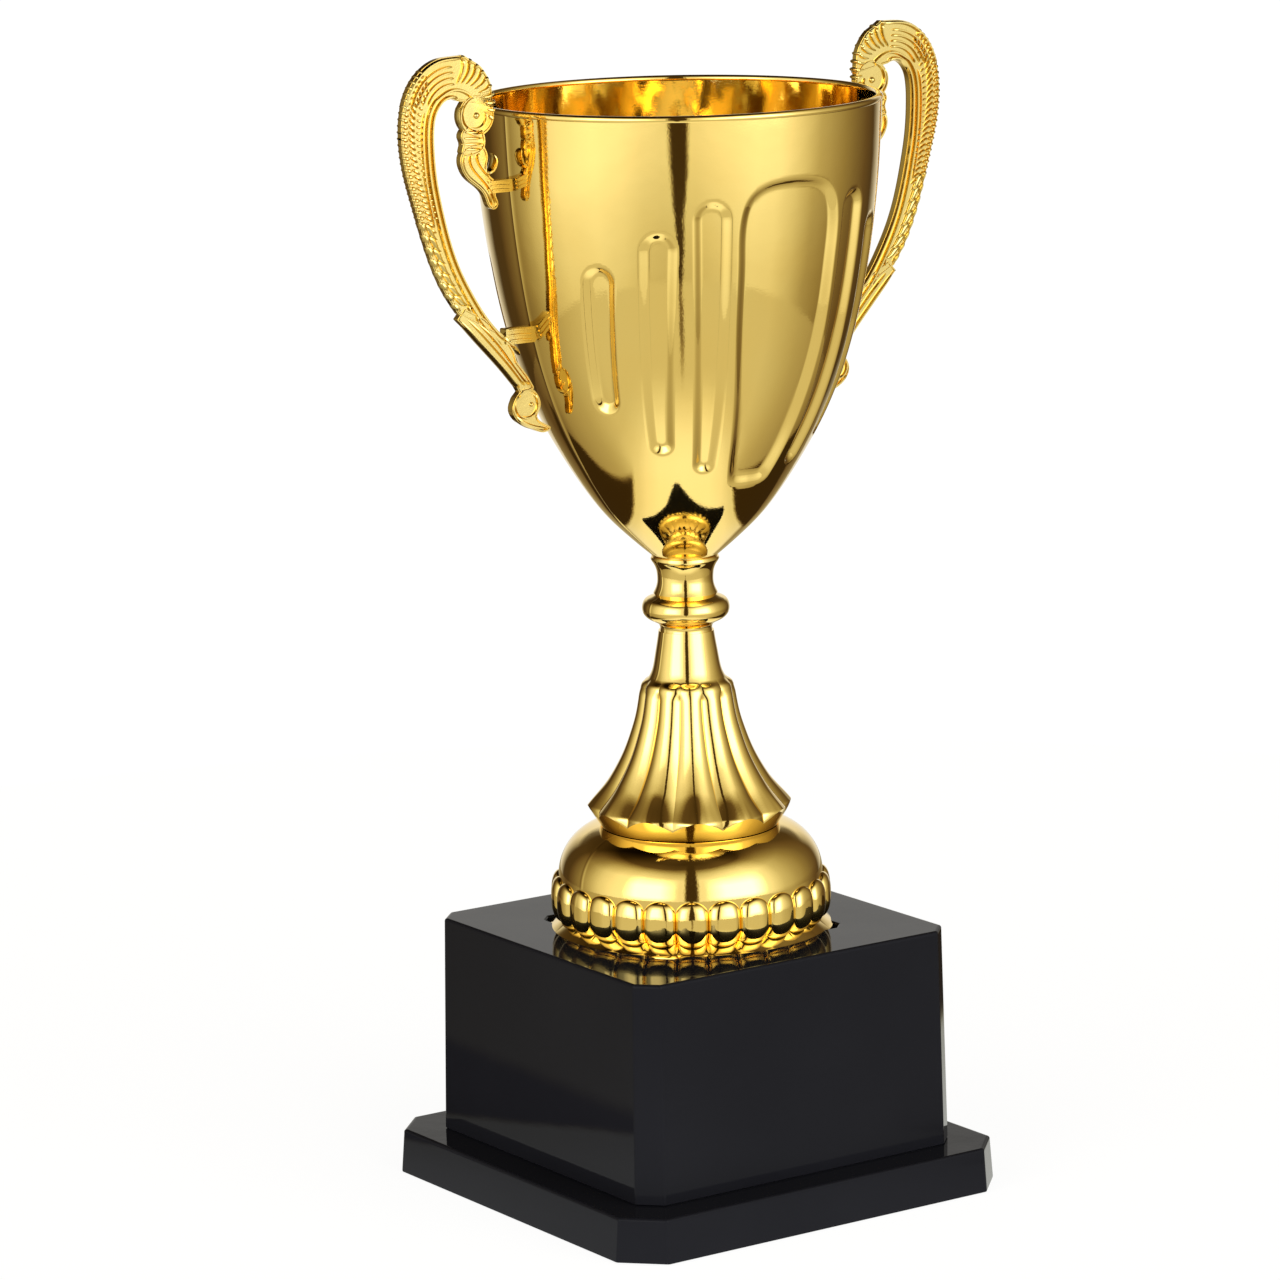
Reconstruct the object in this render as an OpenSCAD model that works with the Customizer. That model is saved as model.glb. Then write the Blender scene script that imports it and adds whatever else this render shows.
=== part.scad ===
// Cup trophy: plated two-handled cup on a turned stem and a two-tier black base.
// Z is up, the origin is the centre of the underside, the handles lie along X,
// and the arched panel on the bowl faces -Y and +Y.

/* [Base] */
// Width of the lower tier at the floor
plinth_w = 100; // [85:1:140]
// Height of the lower tier
plinth_h = 9.7; // [7:0.1:16]
// Corner cut of the lower tier, measured along each side
plinth_corner = 7.8; // [4:0.1:12]
// Width of the upper block where it stands on the lower tier
block_w = 83; // [72:1:118]
// Height of the upper block
block_h = 47.8; // [36:0.1:70]
// Corner cut of the upper block, measured along each side
block_corner = 4.4; // [2:0.1:7]
// How much narrower each tier is at its top, per side
base_draft = 0.75; // [0:0.05:1]
// Wall of both base mouldings
base_wall = 2.4; // [1.8:0.1:3]
// Depth of the round seat in the top of the block
seat_depth = 1.6; // [1:0.1:2.4]
// Radial gap round the foot in that seat
seat_gap = 1.2; // [0.3:0.1:2]

/* [Foot] */
// Diameter over the foot flange
foot_d = 62; // [52:1:74]
// Height from the seat to the top of the dome
foot_h = 22.9; // [18:0.1:30]
// Radius of the dome wall between the beads
dome_r = 28.8; // [24:0.1:33]
// Roundness of the dome's shoulder
dome_round = 9.3; // [6:0.1:11]
// Number of beads round the foot
bead_count = 26; // [16:2:32]
// How far the beads stand out of the dome wall
bead_proud = 1.8; // [1:0.1:2.4]
// Wall of the plated mouldings under the bowl
stem_wall = 2; // [1.6:0.1:2.4]

/* [Stem] */
// Height of the lobed bell
bell_h = 31.8; // [24:0.1:44]
// Radius over the lobes at the foot of the bell
bell_r = 22.1; // [18:0.1:24]
// Radius over the lobes at the top of the bell
bell_top_r = 10.1; // [9:0.1:13]
// Depth of the grooves between lobes at the foot of the bell
lobe_depth = 0.9; // [0.3:0.1:1.4]
// Number of lobes
lobe_count = 12; // [8:1:20]
// Height of the plain neck above the bell
stem_neck_h = 12; // [8:0.1:18]
// Radius at the top of that neck
stem_neck_r = 6.1; // [5.6:0.1:7.5]
// Height of the spool between the stem and the bowl
spool_h = 16.4; // [14:0.1:22]
// Radius of the knob ring on the spool
knob_r = 9.5; // [8:0.1:12]

/* [Bowl] */
// Outside diameter of the bowl just under its lip
bowl_d = 87.2; // [72:0.2:110]
// Height of the bowl from its neck to the lip
bowl_h = 99.2; // [80:0.1:125]
// Wall of the bowl
bowl_wall = 1.3; // [1:0.1:1.8]
// Radius of the bowl's neck where it stands on the spool
bowl_neck_r = 7.3; // [6.8:0.1:9]
// Radius of the rolled lip
lip_r = 0.8; // [0.7:0.05:1.2]
// Thickness of the solid floor over the neck
floor_t = 3.5; // [2.5:0.1:5]
// How deep ribs and panels are pressed into the bowl
rib_deep = 1.3; // [0.6:0.1:1.6]
// Width of a rib round the bowl
rib_w = 7.4; // [5:0.1:9]

/* [Handles] */
// Thickness of a handle
handle_t = 3.2; // [2.4:0.1:4.5]
// Distance from the lip down to the upper handle bar
handle_drop = 15.7; // [12:0.1:20]
// Thickness of the tenons that pass through the bowl wall
tenon_t = 2.2; // [1.6:0.1:2.4]
// Gap on each side of a tenon in its slot
tenon_gap = 0.15; // [0.1:0.05:0.4]
// How far a tenon reaches past the inside of the wall
tenon_proud = 1.2; // [0.6:0.1:2]
// Smallest gap between the foot scroll and the bowl
scroll_gap = 1.5; // [0.8:0.1:4]

/* [Fasteners] */
// Thread size of the tie rod
rod_d = 5; // [4:1:6]
// Gap on the diameter of the holes the rod passes through
rod_gap = 0.5; // [0.3:0.1:1]
// Gap on the radius of every locating spigot
spigot_gap = 0.2; // [0.1:0.05:0.4]
// Shank diameter of the screws between the tiers
screw_d = 3; // [2.5:0.1:4]

/* [Hidden] */
$fn = 72;
eps = 0.02;
through = 400;

// heights of the joints, from the floor up
block_top = plinth_h + block_h;
seat_z = block_top - seat_depth;
dome_z = seat_z + foot_h;
bell_z = dome_z + bell_h;
spool_z = bell_z + stem_neck_h;
bowl_z = spool_z + spool_h;
rim_z = bowl_z + bowl_h;

// fasteners
rod_hole_r = (rod_d + rod_gap) / 2;
washer_r = rod_d;
washer_t = rod_d / 5;
nut_across = rod_d * 1.6;
nut_h = rod_d * 0.8;
rod_spare = 2.5;
clamp_z = seat_z - base_wall;
floor_z = bowl_z + floor_t;
rod_low = clamp_z - washer_t - nut_h - rod_spare;
rod_high = floor_z + washer_t + nut_h + rod_spare;

// the spigots that centre one piece on the next
spigot_h = 2.4;
spigot_r = rod_hole_r + 1.5;
low_spigot_r = rod_hole_r + 0.9;
// room left under each spigot's end
spigot_slack = 0.3;

// smooth curve through points: each span is cut into n steps
function spline(p0, p1, p2, p3, t) =
    0.5 * (2 * p1 + (p2 - p0) * t + (2 * p0 - 5 * p1 + 4 * p2 - p3) * t * t
           + (3 * p1 - p0 - 3 * p2 + p3) * t * t * t);
function curve(p, n = 4) =
    let (last = len(p) - 1)
    [for (i = [0 : last - 1]) for (k = [0 : n - 1])
        spline(p[max(i - 1, 0)], p[i], p[i + 1], p[min(i + 2, last)], k / n), p[last]];
function flip(p) = [for (i = [len(p) - 1 : -1 : 0]) p[i]];
function mirrored(p) = [for (q = p) [-q[0], q[1]]];
// the same line moved sideways by d, to its left as it runs
function beside(p, d) =
    [for (i = [0 : len(p) - 1])
        let (run = p[min(i + 1, len(p) - 1)] - p[max(i - 1, 0)], size = norm(run))
        p[i] + d * [-run[1], run[0]] / size];

// outside of the bowl, as shares of its radius and of its height below the lip
bowl_shape = [[0, 0], [0.02, 0.014], [0.121, 0.044], [0.372, 0.148], [0.636, 0.308],
              [0.8, 0.462], [0.904, 0.62], [0.967, 0.833], [1, 1]];
bowl_side_h = bowl_h - lip_r;
function bowl_point(s) = [bowl_neck_r + (bowl_d / 2 - bowl_neck_r) * s[0],
                          bowl_z + bowl_side_h * s[1]];
bowl_line = curve([for (s = bowl_shape) bowl_point(s)]);
bowl_table = [for (q = bowl_line) [q[1], q[0]]];
function bowl_r(z) = lookup(z, bowl_table);

// height over the floor from which the ornament may start
band_start = 6;
// [angle from the panel, low share, high share] of each rib's height on the bowl
ribs = [[25.3, 0.225, 0.83], [41.5, 0.27, 0.764], [59.8, 0.36, 0.69]];
// half outline of the arched panel: [share of the bowl radius, share of the bowl height]
panel_shape = [[0, 0.869], [0.115, 0.865], [0.215, 0.846], [0.279, 0.806], [0.284, 0.68],
               [0.266, 0.52], [0.216, 0.375], [0.14, 0.235], [0.096, 0.194], [0, 0.185]];

// a square tier with cut corners whose sides lean in evenly
top_bevel = 0.6;
module tier(w, corner, z0, z1, lean) {
    diagonal = (w - corner) * sqrt(2);
    // [width across, turn] of each pair of facing sides
    sides = [[w, 0], [w, 90], [diagonal, 45], [diagonal, 135]];
    intersection_for(side = sides)
        let (half = side[0] / 2)
        rotate([0, 0, side[1]])
        rotate([90, 0, 0])
        linear_extrude(2 * w, center = true)
        polygon([[-half, z0], [half, z0],
                 [half - lean, z1 - top_bevel], [half - lean - top_bevel, z1],
                 [-half + lean + top_bevel, z1], [-half + lean, z1 - top_bevel]]);
}

// the ridge on the lower tier that centres the block
lip_w = block_w - 2 * base_wall - 4 * spigot_gap - 2 * base_draft;
lip_t = 1.6;
lip_h = 2;

// the four screws between the tiers, each in a post that the ridge's corners clear
screw_post_r = screw_d / 2 + 2.2;
post_gap = 0.5;
screw_at = lip_w / 2 - lip_t - block_corner / 2 - (screw_post_r + post_gap) / sqrt(2);
screw_gap = 0.2;
screw_pilot_r = screw_d / 2 - screw_gap;
screw_head_r = screw_d;
screw_head_h = screw_d * 0.6;
screw_bite = 10;
pilot_spare = 3;
plinth_top_t = base_wall;
// opening in the lower tier that the rod's nut is reached through
reach_r = 14;
module at_screws() {
    for (x = [-screw_at, screw_at], y = [-screw_at, screw_at])
        translate([x, y, 0]) children();
}

module base_plinth() {
    inner_w = plinth_w - 2 * base_wall - 2 * base_draft;
    color("#16161a") difference() {
        union() {
            tier(plinth_w, plinth_corner, 0, plinth_h, base_draft);
            difference() {
                tier(lip_w, block_corner, plinth_h - eps, plinth_h + lip_h, 0);
                tier(lip_w - 2 * lip_t, block_corner, 0, plinth_h + 2 * lip_h, 0);
            }
        }
        tier(inner_w, plinth_corner, -eps, plinth_h - plinth_top_t, 0);
        translate([0, 0, plinth_h / 2]) cylinder(r = reach_r, h = plinth_h);
        at_screws() cylinder(r = screw_d / 2 + screw_gap, h = plinth_h + 4 * lip_h);
    }
}

module base_block() {
    inside_w = block_w - 2 * base_wall - 2 * base_draft;
    inside_top = seat_z - base_wall;
    color("#101013") difference() {
        union() {
            difference() {
                tier(block_w, block_corner, plinth_h, block_top, base_draft);
                tier(inside_w, block_corner, plinth_h - eps, inside_top, 0);
            }
            at_screws() translate([0, 0, plinth_h])
                cylinder(r = screw_post_r, h = inside_top - plinth_h + base_wall / 2);
        }
        translate([0, 0, seat_z]) cylinder(r = foot_d / 2 + seat_gap, h = through, $fn = 120);
        cylinder(r = rod_hole_r, h = through);
        at_screws() translate([0, 0, plinth_h - eps])
            cylinder(r = screw_pilot_r, h = screw_bite + pilot_spare);
    }
}

module plinth_screws() {
    head_z = plinth_h - plinth_top_t - screw_head_h;
    slot_w = 0.7;
    color("silver") at_screws() translate([0, 0, head_z]) {
        difference() {
            cylinder(r = screw_head_r, h = screw_head_h);
            for (turn = [0, 90]) rotate([0, 0, turn])
                cube([screw_head_r * 1.1, slot_w, screw_head_h], center = true);
        }
        translate([0, 0, screw_head_h - eps])
            cylinder(r = screw_pilot_r, h = screw_bite + plinth_top_t);
    }
}

// shoulder of the dome, drawn so far inside its outside face
function dome_profile(inset) =
    let (r = dome_r - inset, corner = dome_round - inset, top = dome_z - inset)
    [for (a = [0 : 10 : 90])
        [r - corner + corner * cos(a), top - corner + corner * sin(a)]];

flange_t = 1.4;
bead_low = seat_z + flange_t + 2;
bead_h = 9.6;
// depth of the V grooves between beads, and how far a bead is sunk in the wall
bead_groove = 1.1;
bead_sunk = 1;
// ring on top of the dome that the bell sits round
ring_h = 1.4;
ring_t = 1.4;
bell_tuck = 2.6;
bell_mouth_r = bell_r - bell_tuck;
ring_r = bell_mouth_r - stem_wall - spigot_gap;
module foot_dome() {
    // the beads start as one rounded band, which upright V grooves part from each other
    band = [for (a = [-90 : 22.5 : 90])
        [dome_r + bead_proud * cos(a), bead_low + bead_h * (1 + sin(a)) / 2]];
    color("#d9a93a") difference() {
        union() {
            rotate_extrude($fn = 144) polygon(concat(
                [[0, seat_z], [foot_d / 2, seat_z], [foot_d / 2, seat_z + flange_t],
                 [dome_r - bead_sunk / 2, bead_low]],
                dome_profile(0), [[0, dome_z]]));
            difference() {
                rotate_extrude($fn = 144) polygon(concat(
                    [[dome_r - bead_sunk, bead_low]], band,
                    [[dome_r - bead_sunk, bead_low + bead_h]]));
                for (i = [0 : bead_count - 1]) rotate([0, 0, i * 360 / bead_count])
                    translate([0, dome_r + bead_proud - bead_groove + sqrt(2) * bead_groove,
                               bead_low + bead_h / 2])
                    rotate([0, 0, 45])
                    cube([2 * bead_groove, 2 * bead_groove, 2 * bead_h], center = true);
            }
            translate([0, 0, dome_z - eps]) cylinder(r = ring_r, h = ring_h + eps);
        }
        rotate_extrude($fn = 144) polygon(concat(
            [[0, seat_z - 1], [dome_r - stem_wall, seat_z - 1]],
            dome_profile(stem_wall), [[0, dome_z - stem_wall]]));
        translate([0, 0, dome_z]) cylinder(r = ring_r - ring_t, h = 2 * ring_h);
        cylinder(r = rod_hole_r, h = through);
    }
}

// outside of the bell at a share t of the way down to its widest point
bell_hem_h = 3.6;
function bell_line(t) =
    let (a = [bell_top_r, bell_z], b = [bell_top_r + 0.5, bell_z - bell_h * 0.43],
         c = [bell_r * 0.72, bell_z - bell_h * 0.58], d = [bell_r, dome_z + bell_hem_h])
    pow(1 - t, 3) * a + 3 * t * pow(1 - t, 2) * b + 3 * t * t * (1 - t) * c + t * t * t * d;
lobe_groove_w = 1;
// share of the bell above which it is solid, but for the rod's hole
bell_solid = 0.3;

module stem_bell() {
    line = [for (t = [0 : 0.1 : 1]) bell_line(t)];
    hollow = [for (t = [bell_solid : 0.1 : 1]) bell_line(t) - [lobe_depth + stem_wall, 0]];
    // [added to the neck's top radius, share of its height]
    neck_shape = [[1.9, 0.17], [1.1, 0.38], [0.4, 0.68], [0, 1]];
    neck = curve([for (q = neck_shape) [stem_neck_r + q[0], bell_z + stem_neck_h * q[1]]]);
    color("#e0b244") difference() {
        // the bell turns in under its widest point
        rotate_extrude($fn = 144) polygon(concat([[0, dome_z], [bell_mouth_r, dome_z]],
            flip(line), neck, [[0, spool_z]]));
        for (i = [0 : lobe_count - 1]) rotate([0, 0, (i + 0.5) * 360 / lobe_count])
            rotate([90, 0, 0])
            linear_extrude(lobe_groove_w, center = true)
            polygon(concat([for (q = line) q - [lobe_depth, 0]],
                [[bell_r - lobe_depth, dome_z + 2], [2 * bell_r, dome_z + 2],
                 [2 * bell_r, bell_z]]));
        rotate_extrude() polygon(concat([[0, bell_line(bell_solid)[1]]], hollow,
            [[bell_mouth_r - stem_wall, dome_z - 1], [0, dome_z - 1]]));
        cylinder(r = rod_hole_r, h = through);
        translate([0, 0, spool_z - spigot_h - spigot_slack])
            cylinder(r = low_spigot_r + spigot_gap, h = spigot_h + 1);
    }
}

module neck_spool() {
    waist = 6.1;
    foot = stem_neck_r - 0.3;
    // [radius, share of the spool's height]
    shape = [[foot, 0], [foot, 0.06], [knob_r - 2.2, 0.134], [knob_r - 0.4, 0.22],
             [knob_r, 0.305], [knob_r - 0.5, 0.39], [waist + 0.5, 0.45], [waist, 0.61],
             [waist + 0.3, 0.817], [bowl_neck_r - 0.1, 0.915], [bowl_neck_r + 0.1, 0.957],
             [bowl_neck_r, 1]];
    color("#d2a136") difference() {
        union() {
            rotate_extrude() polygon(concat([[0, spool_z]],
                curve([for (q = shape) [q[0], spool_z + spool_h * q[1]]]),
                [[0, bowl_z]]));
            translate([0, 0, spool_z - spigot_h]) cylinder(r = low_spigot_r, h = spigot_h + 1);
        }
        cylinder(r = rod_hole_r, h = through);
        translate([0, 0, bowl_z - spigot_h - spigot_slack])
            cylinder(r = spigot_r + spigot_gap, h = spigot_h + 1);
    }
}

// front outlines of the ornament, drawn in X and Z
// spare widens an outline on every side
module rib_outline(low, high, spare) {
    half = rib_w / 2 + spare;
    z0 = bowl_z + bowl_h * low + rib_w / 2;
    z1 = bowl_z + bowl_h * high - rib_w / 2;
    translate([0, z0]) circle(r = half, $fn = 32);
    translate([0, z1]) circle(r = half, $fn = 32);
    translate([-half, z0]) square([2 * half, z1 - z0]);
}
module panel_outline(spare) {
    half = curve([for (s = panel_shape) [s[0] * bowl_d / 2, bowl_z + bowl_h * s[1]]], 3);
    wide = beside(half, spare);
    polygon(concat(wide, flip(mirrored(wide))));
}
module ornament(spare) {
    for (face = [0, 180]) rotate([0, 0, face]) rotate([90, 0, 0]) {
        linear_extrude(bowl_d) panel_outline(spare);
        for (r = ribs, side = [-1, 1]) rotate([0, side * r[0], 0])
            linear_extrude(bowl_d) rib_outline(r[1], r[2], spare);
    }
}
// the part of the wall between two depths under its outside, over the neck
module wall_band(from, to) {
    rotate_extrude($fn = 144) polygon(concat(above_neck(beside(bowl_line, from)),
        flip(above_neck(beside(bowl_line, to)))));
}
function above_neck(p) = [for (q = p) if (q[1] > floor_z + band_start) q];

module bowl() {
    inner = beside(bowl_line, bowl_wall);
    kept = [for (q = inner) if (q[1] > floor_z + 0.2 && q[0] > 0) q];
    color("#e3b850") difference() {
        union() {
            rotate_extrude($fn = 144) polygon(concat([[0, bowl_z]], bowl_line,
                flip(kept), [[kept[0][0], floor_z], [0, floor_z]]));
            translate([0, 0, rim_z - lip_r])
                rotate_extrude($fn = 144) translate([bowl_d / 2 - bowl_wall / 2, 0])
                circle(r = lip_r, $fn = 24);
            // the wall stands in behind the ornament, so it keeps its thickness there
            intersection() {
                wall_band(bowl_wall / 2, bowl_wall + rib_deep);
                ornament(bowl_wall);
            }
            translate([0, 0, bowl_z - spigot_h]) cylinder(r = spigot_r, h = spigot_h + 1);
        }
        intersection() {
            wall_band(-1, rib_deep);
            ornament(0);
        }
        cylinder(r = rod_hole_r, h = through);
        for (bar = [upper_bar, lower_bar]) translate([0, 0, bar_z(bar)])
            cube([2 * bowl_d, tenon_t + 2 * tenon_gap, tenon_h(bar) + 2 * tenon_gap],
                 center = true);
    }
}

// handle outline: [out from the bowl axis, up], both from the handle's own datum,
// which lies on the bowl wall at the height of the upper bar
// [height, thickness, how far out it runs] of the two bars that join a handle to the bowl
upper_bar = [0, 2.7, 5];
lower_bar = [-31.8, 3.4, 2.4];
handle_z = rim_z - handle_drop;
foot_tip = [-8.3, -52.3];
leaf_tip = [-1, -35.9];
blade_low = [-4.2, -43];
function bar_z(bar) = handle_z + bar[0];
tenon_step = 0.7;
function tenon_h(bar) = bar[1] - tenon_step;
// how far out the handle sits, so that its scrolls clear the bowl everywhere
scroll_up = 2;
handle_out = max([bowl_r(handle_z),
    for (q = [foot_tip, leaf_tip, blade_low])
        bowl_r(handle_z + q[1] + scroll_up) + scroll_gap - q[0]]);

outer_edge = [[9.5, 27.6], [13.4, 27.9], [16.7, 27.6], [20.1, 26.3], [22.9, 24.3],
              [25.1, 21.2], [26.5, 17.2], [27, 13], [26.8, 8.4], [26, 3.8], [24.4, -1.3],
              [22.2, -9], [19.6, -16.6], [16.6, -22.2], [13.6, -26.3]];
inner_edge = [[13.2, 18.7], [14.7, 18.9], [16.6, 18.3], [18.2, 16.4], [19, 12.6],
              [19.1, 8.9], [18.8, 4.6], [17.9, -1], [16.6, -6.8], [15, -11.8],
              [12.9, -17.1], [10, -22.7], [6.2, -28.1], [2.2, -32.4]];
crest = [[9.5, 27.6], [7.4, 26.2], [5.9, 24.4], [4.9, 22.2], [4.4, 19.6], [4.3, 16.4]];
volute_at = [8.7, 15.1];
volute_r = 4.4;
blade = [[14.6, -26.9], [11.4, -30], [7.4, -34.4], [3.4, -38.8], [-0.2, -42.8],
         [-1.6, -44.6], [-5.3, -44], [-2.6, -40.4], [0.1, -37.1], [0.4, -35],
         [2.6, -31.6], [8, -27], [12.6, -25.4]];
scroll = [[-0.2, -42.9], [1.1, -45.2], [1.6, -47.4], [0.9, -49.2], [-1.2, -50.9],
          [-3.7, -52.2], [-6.9, -53], [-8.3, -52.3], [-7, -51.1], [-4.9, -49],
          [-5.7, -47.2], [-5.3, -45.2], [-4.4, -42.6]];
knot = [[7.1, 12], [12.3, 12.4], [12.9, 10.7], [12.1, 9.1], [12.6, 7.7], [7.2, 7.9],
        [6.5, 9.8], [6.9, 11.1]];
leaf = [[7, 8.6], [11.4, 8.8], [12.9, 6.8], [12.6, 4.2], [11, 2], [8.6, 0.2], [6.6, -2],
        [5.8, -4.1], [3.8, -4.5], [3.3, -3.7], [4.2, -1.6], [4, 1.2], [5.6, 2.6],
        [6.4, 4.4], [5, 5.9], [5.5, 6.6], [6.9, 7]];
module handle_shape() {
    polygon(concat(curve(outer_edge, 3), flip(curve(inner_edge, 3)), flip(curve(crest, 3))));
    translate(volute_at) circle(r = volute_r, $fn = 48);
    polygon(curve(knot, 2));
    polygon(curve(leaf, 3));
    polygon(blade);
    polygon(curve(scroll, 3));
}
module handle() {
    translate([handle_out, 0, handle_z]) rotate([90, 0, 0])
        linear_extrude(handle_t, center = true) handle_shape();
    handle_bar(upper_bar);
    handle_bar(lower_bar);
}
// a bar whose shoulder meets the bowl and whose tenon passes through its wall
bar_gap = 0.05;
module handle_bar(bar) {
    z = bar_z(bar);
    root = handle_out + bar[2];
    shoulder = bowl_r(z + bar[1] / 2) + bar_gap;
    tip = bowl_r(z) - bowl_wall - tenon_proud;
    translate([shoulder, -handle_t / 2, z - bar[1] / 2])
        cube([root - shoulder, handle_t, bar[1]]);
    translate([tip, -tenon_t / 2, z - tenon_h(bar) / 2])
        cube([root - tip, tenon_t, tenon_h(bar)]);
}
module handle_right() {
    color("#f0c85a") handle();
}
module handle_left() {
    color("#f0c85a") rotate([0, 0, 180]) handle();
}

module tie_rod() {
    color("silver") translate([0, 0, rod_low])
        cylinder(r = rod_d / 2, h = rod_high - rod_low);
}
module washer(z) {
    translate([0, 0, z]) difference() {
        cylinder(r = washer_r, h = washer_t);
        translate([0, 0, -1]) cylinder(r = rod_hole_r, h = washer_t + 2);
    }
}
module nut(z) {
    translate([0, 0, z]) difference() {
        cylinder(d = nut_across / cos(30), h = nut_h, $fn = 6);
        translate([0, 0, -1]) cylinder(r = rod_d / 2, h = nut_h + 2);
    }
}
module bowl_washer() {
    color("silver") washer(floor_z);
}
module bowl_nut() {
    color("silver") nut(floor_z + washer_t);
}
module base_washer() {
    color("silver") washer(clamp_z - washer_t);
}
module base_nut() {
    color("silver") nut(clamp_z - washer_t - nut_h);
}

bowl();
handle_left();
handle_right();
neck_spool();
stem_bell();
foot_dome();
base_block();
base_plinth();
tie_rod();
bowl_washer();
bowl_nut();
base_washer();
base_nut();
plinth_screws();
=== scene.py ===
import math

import bmesh
import bpy
import numpy as np
from mathutils import Matrix, Vector


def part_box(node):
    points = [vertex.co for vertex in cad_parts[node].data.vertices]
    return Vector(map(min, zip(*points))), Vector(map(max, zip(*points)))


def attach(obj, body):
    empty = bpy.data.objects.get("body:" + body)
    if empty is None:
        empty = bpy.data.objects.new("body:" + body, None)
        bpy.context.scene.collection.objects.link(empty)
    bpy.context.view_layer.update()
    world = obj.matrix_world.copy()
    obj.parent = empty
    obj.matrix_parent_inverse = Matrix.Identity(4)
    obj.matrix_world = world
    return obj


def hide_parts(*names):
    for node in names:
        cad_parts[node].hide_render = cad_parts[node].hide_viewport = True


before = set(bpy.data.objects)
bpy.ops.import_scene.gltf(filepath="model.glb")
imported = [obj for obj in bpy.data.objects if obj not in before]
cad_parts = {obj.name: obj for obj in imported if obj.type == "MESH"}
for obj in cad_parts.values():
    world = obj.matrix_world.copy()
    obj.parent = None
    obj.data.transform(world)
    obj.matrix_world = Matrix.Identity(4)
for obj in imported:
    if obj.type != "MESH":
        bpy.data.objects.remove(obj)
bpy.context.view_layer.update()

# plated two-handled cup; shapes below are in millimetres, in the part's own frame
mm = 0.001
rodBore = 2.75                       # radius of the holes that the rod goes through


def nodeBox(node):
    low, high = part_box(node)
    return low / mm, high / mm


plinthTop = nodeBox("base_block")[0].z
blockTop = nodeBox("base_block")[1].z
seatHeight = nodeBox("foot_dome")[0].z
domeTop = nodeBox("stem_bell")[0].z
neckTop = nodeBox("stem_bell")[1].z
bowlFoot = nodeBox("neck_spool")[1].z
rimTop = nodeBox("bowl")[1].z
print("frame loaded, block top", round(blockTop, 1), "bowl foot", round(bowlFoot, 1), "rim", round(rimTop, 1))


# shaping helpers
def smoothLine(points, count):
    # natural cubic spline through points, evenly spaced along its length
    pts = np.array(points, float)
    run = np.concatenate([[0], np.cumsum(np.linalg.norm(np.diff(pts, axis=0), axis=1))])
    n = len(pts)
    h = np.diff(run)
    system = np.eye(n)
    right = np.zeros_like(pts)
    for i in range(1, n - 1):
        system[i, i - 1:i + 2] = h[i - 1], 2 * (h[i - 1] + h[i]), h[i]
        right[i] = 6 * ((pts[i + 1] - pts[i]) / h[i] - (pts[i] - pts[i - 1]) / h[i - 1])
    bend = np.linalg.solve(system, right)

    def at(t):
        k = np.clip(np.searchsorted(run, t, side="right") - 1, 0, n - 2)
        a, b, w = (run[k + 1] - t)[:, None], (t - run[k])[:, None], h[k][:, None]
        return (bend[k] * a ** 3 + bend[k + 1] * b ** 3) / (6 * w) \
            + (pts[k] / w - bend[k] * w / 6) * a + (pts[k + 1] / w - bend[k + 1] * w / 6) * b

    fine = at(np.linspace(0, run[-1], count * 6))
    length = np.concatenate([[0], np.cumsum(np.linalg.norm(np.diff(fine, axis=0), axis=1))])
    even = np.linspace(0, length[-1], count)
    return np.stack([np.interp(even, length, fine[:, 0]), np.interp(even, length, fine[:, 1])], 1)


def rounded(corners, steps=4):
    # closed outline of (x, y, radius); each corner is eased by its radius
    out = []
    for i, (x, y, radius) in enumerate(corners):
        p = np.array((x, y), float)
        if radius <= 0:
            out.append(p)
            continue
        u = np.array(corners[i - 1][:2]) - p
        v = np.array(corners[(i + 1) % len(corners)][:2]) - p
        lu, lv = np.linalg.norm(u), np.linalg.norm(v)
        u, v = u / lu, v / lv
        half = math.acos(max(-1, min(1, float(u @ v)))) / 2
        cut = min(radius / math.tan(half), 0.48 * lu, 0.48 * lv)
        radius = cut * math.tan(half)
        centre = p + (u + v) / np.linalg.norm(u + v) * radius / math.sin(half)
        a0 = math.atan2(*(p + u * cut - centre)[::-1])
        turn = (math.atan2(*(p + v * cut - centre)[::-1]) - a0 + math.pi) % (2 * math.pi) - math.pi
        for k in range(steps + 1):
            a = a0 + turn * k / steps
            out.append(centre + radius * np.array((math.cos(a), math.sin(a))))
    return np.array(out)


def outwardNormals(line):
    # right-hand side of a line that runs upwards
    run = np.gradient(line, axis=0)
    run /= np.linalg.norm(run, axis=1)[:, None]
    return np.stack([run[:, 1], -run[:, 0]], 1)


def ease(t):
    t = np.clip(t, 0, 1)
    return t * t * (3 - 2 * t)


def gridFaces(rows, columns, closeRows=True, closeColumns=True, start=0):
    r = np.arange(rows if closeRows else rows - 1)
    c = np.arange(columns if closeColumns else columns - 1)
    rr, cc = np.meshgrid(r, c, indexing="ij")
    nr, nc = (rr + 1) % rows, (cc + 1) % columns
    quads = np.stack([rr * columns + cc, rr * columns + nc, nr * columns + nc, nr * columns + cc], -1)
    return (quads.reshape(-1, 4) + start).tolist()


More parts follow.
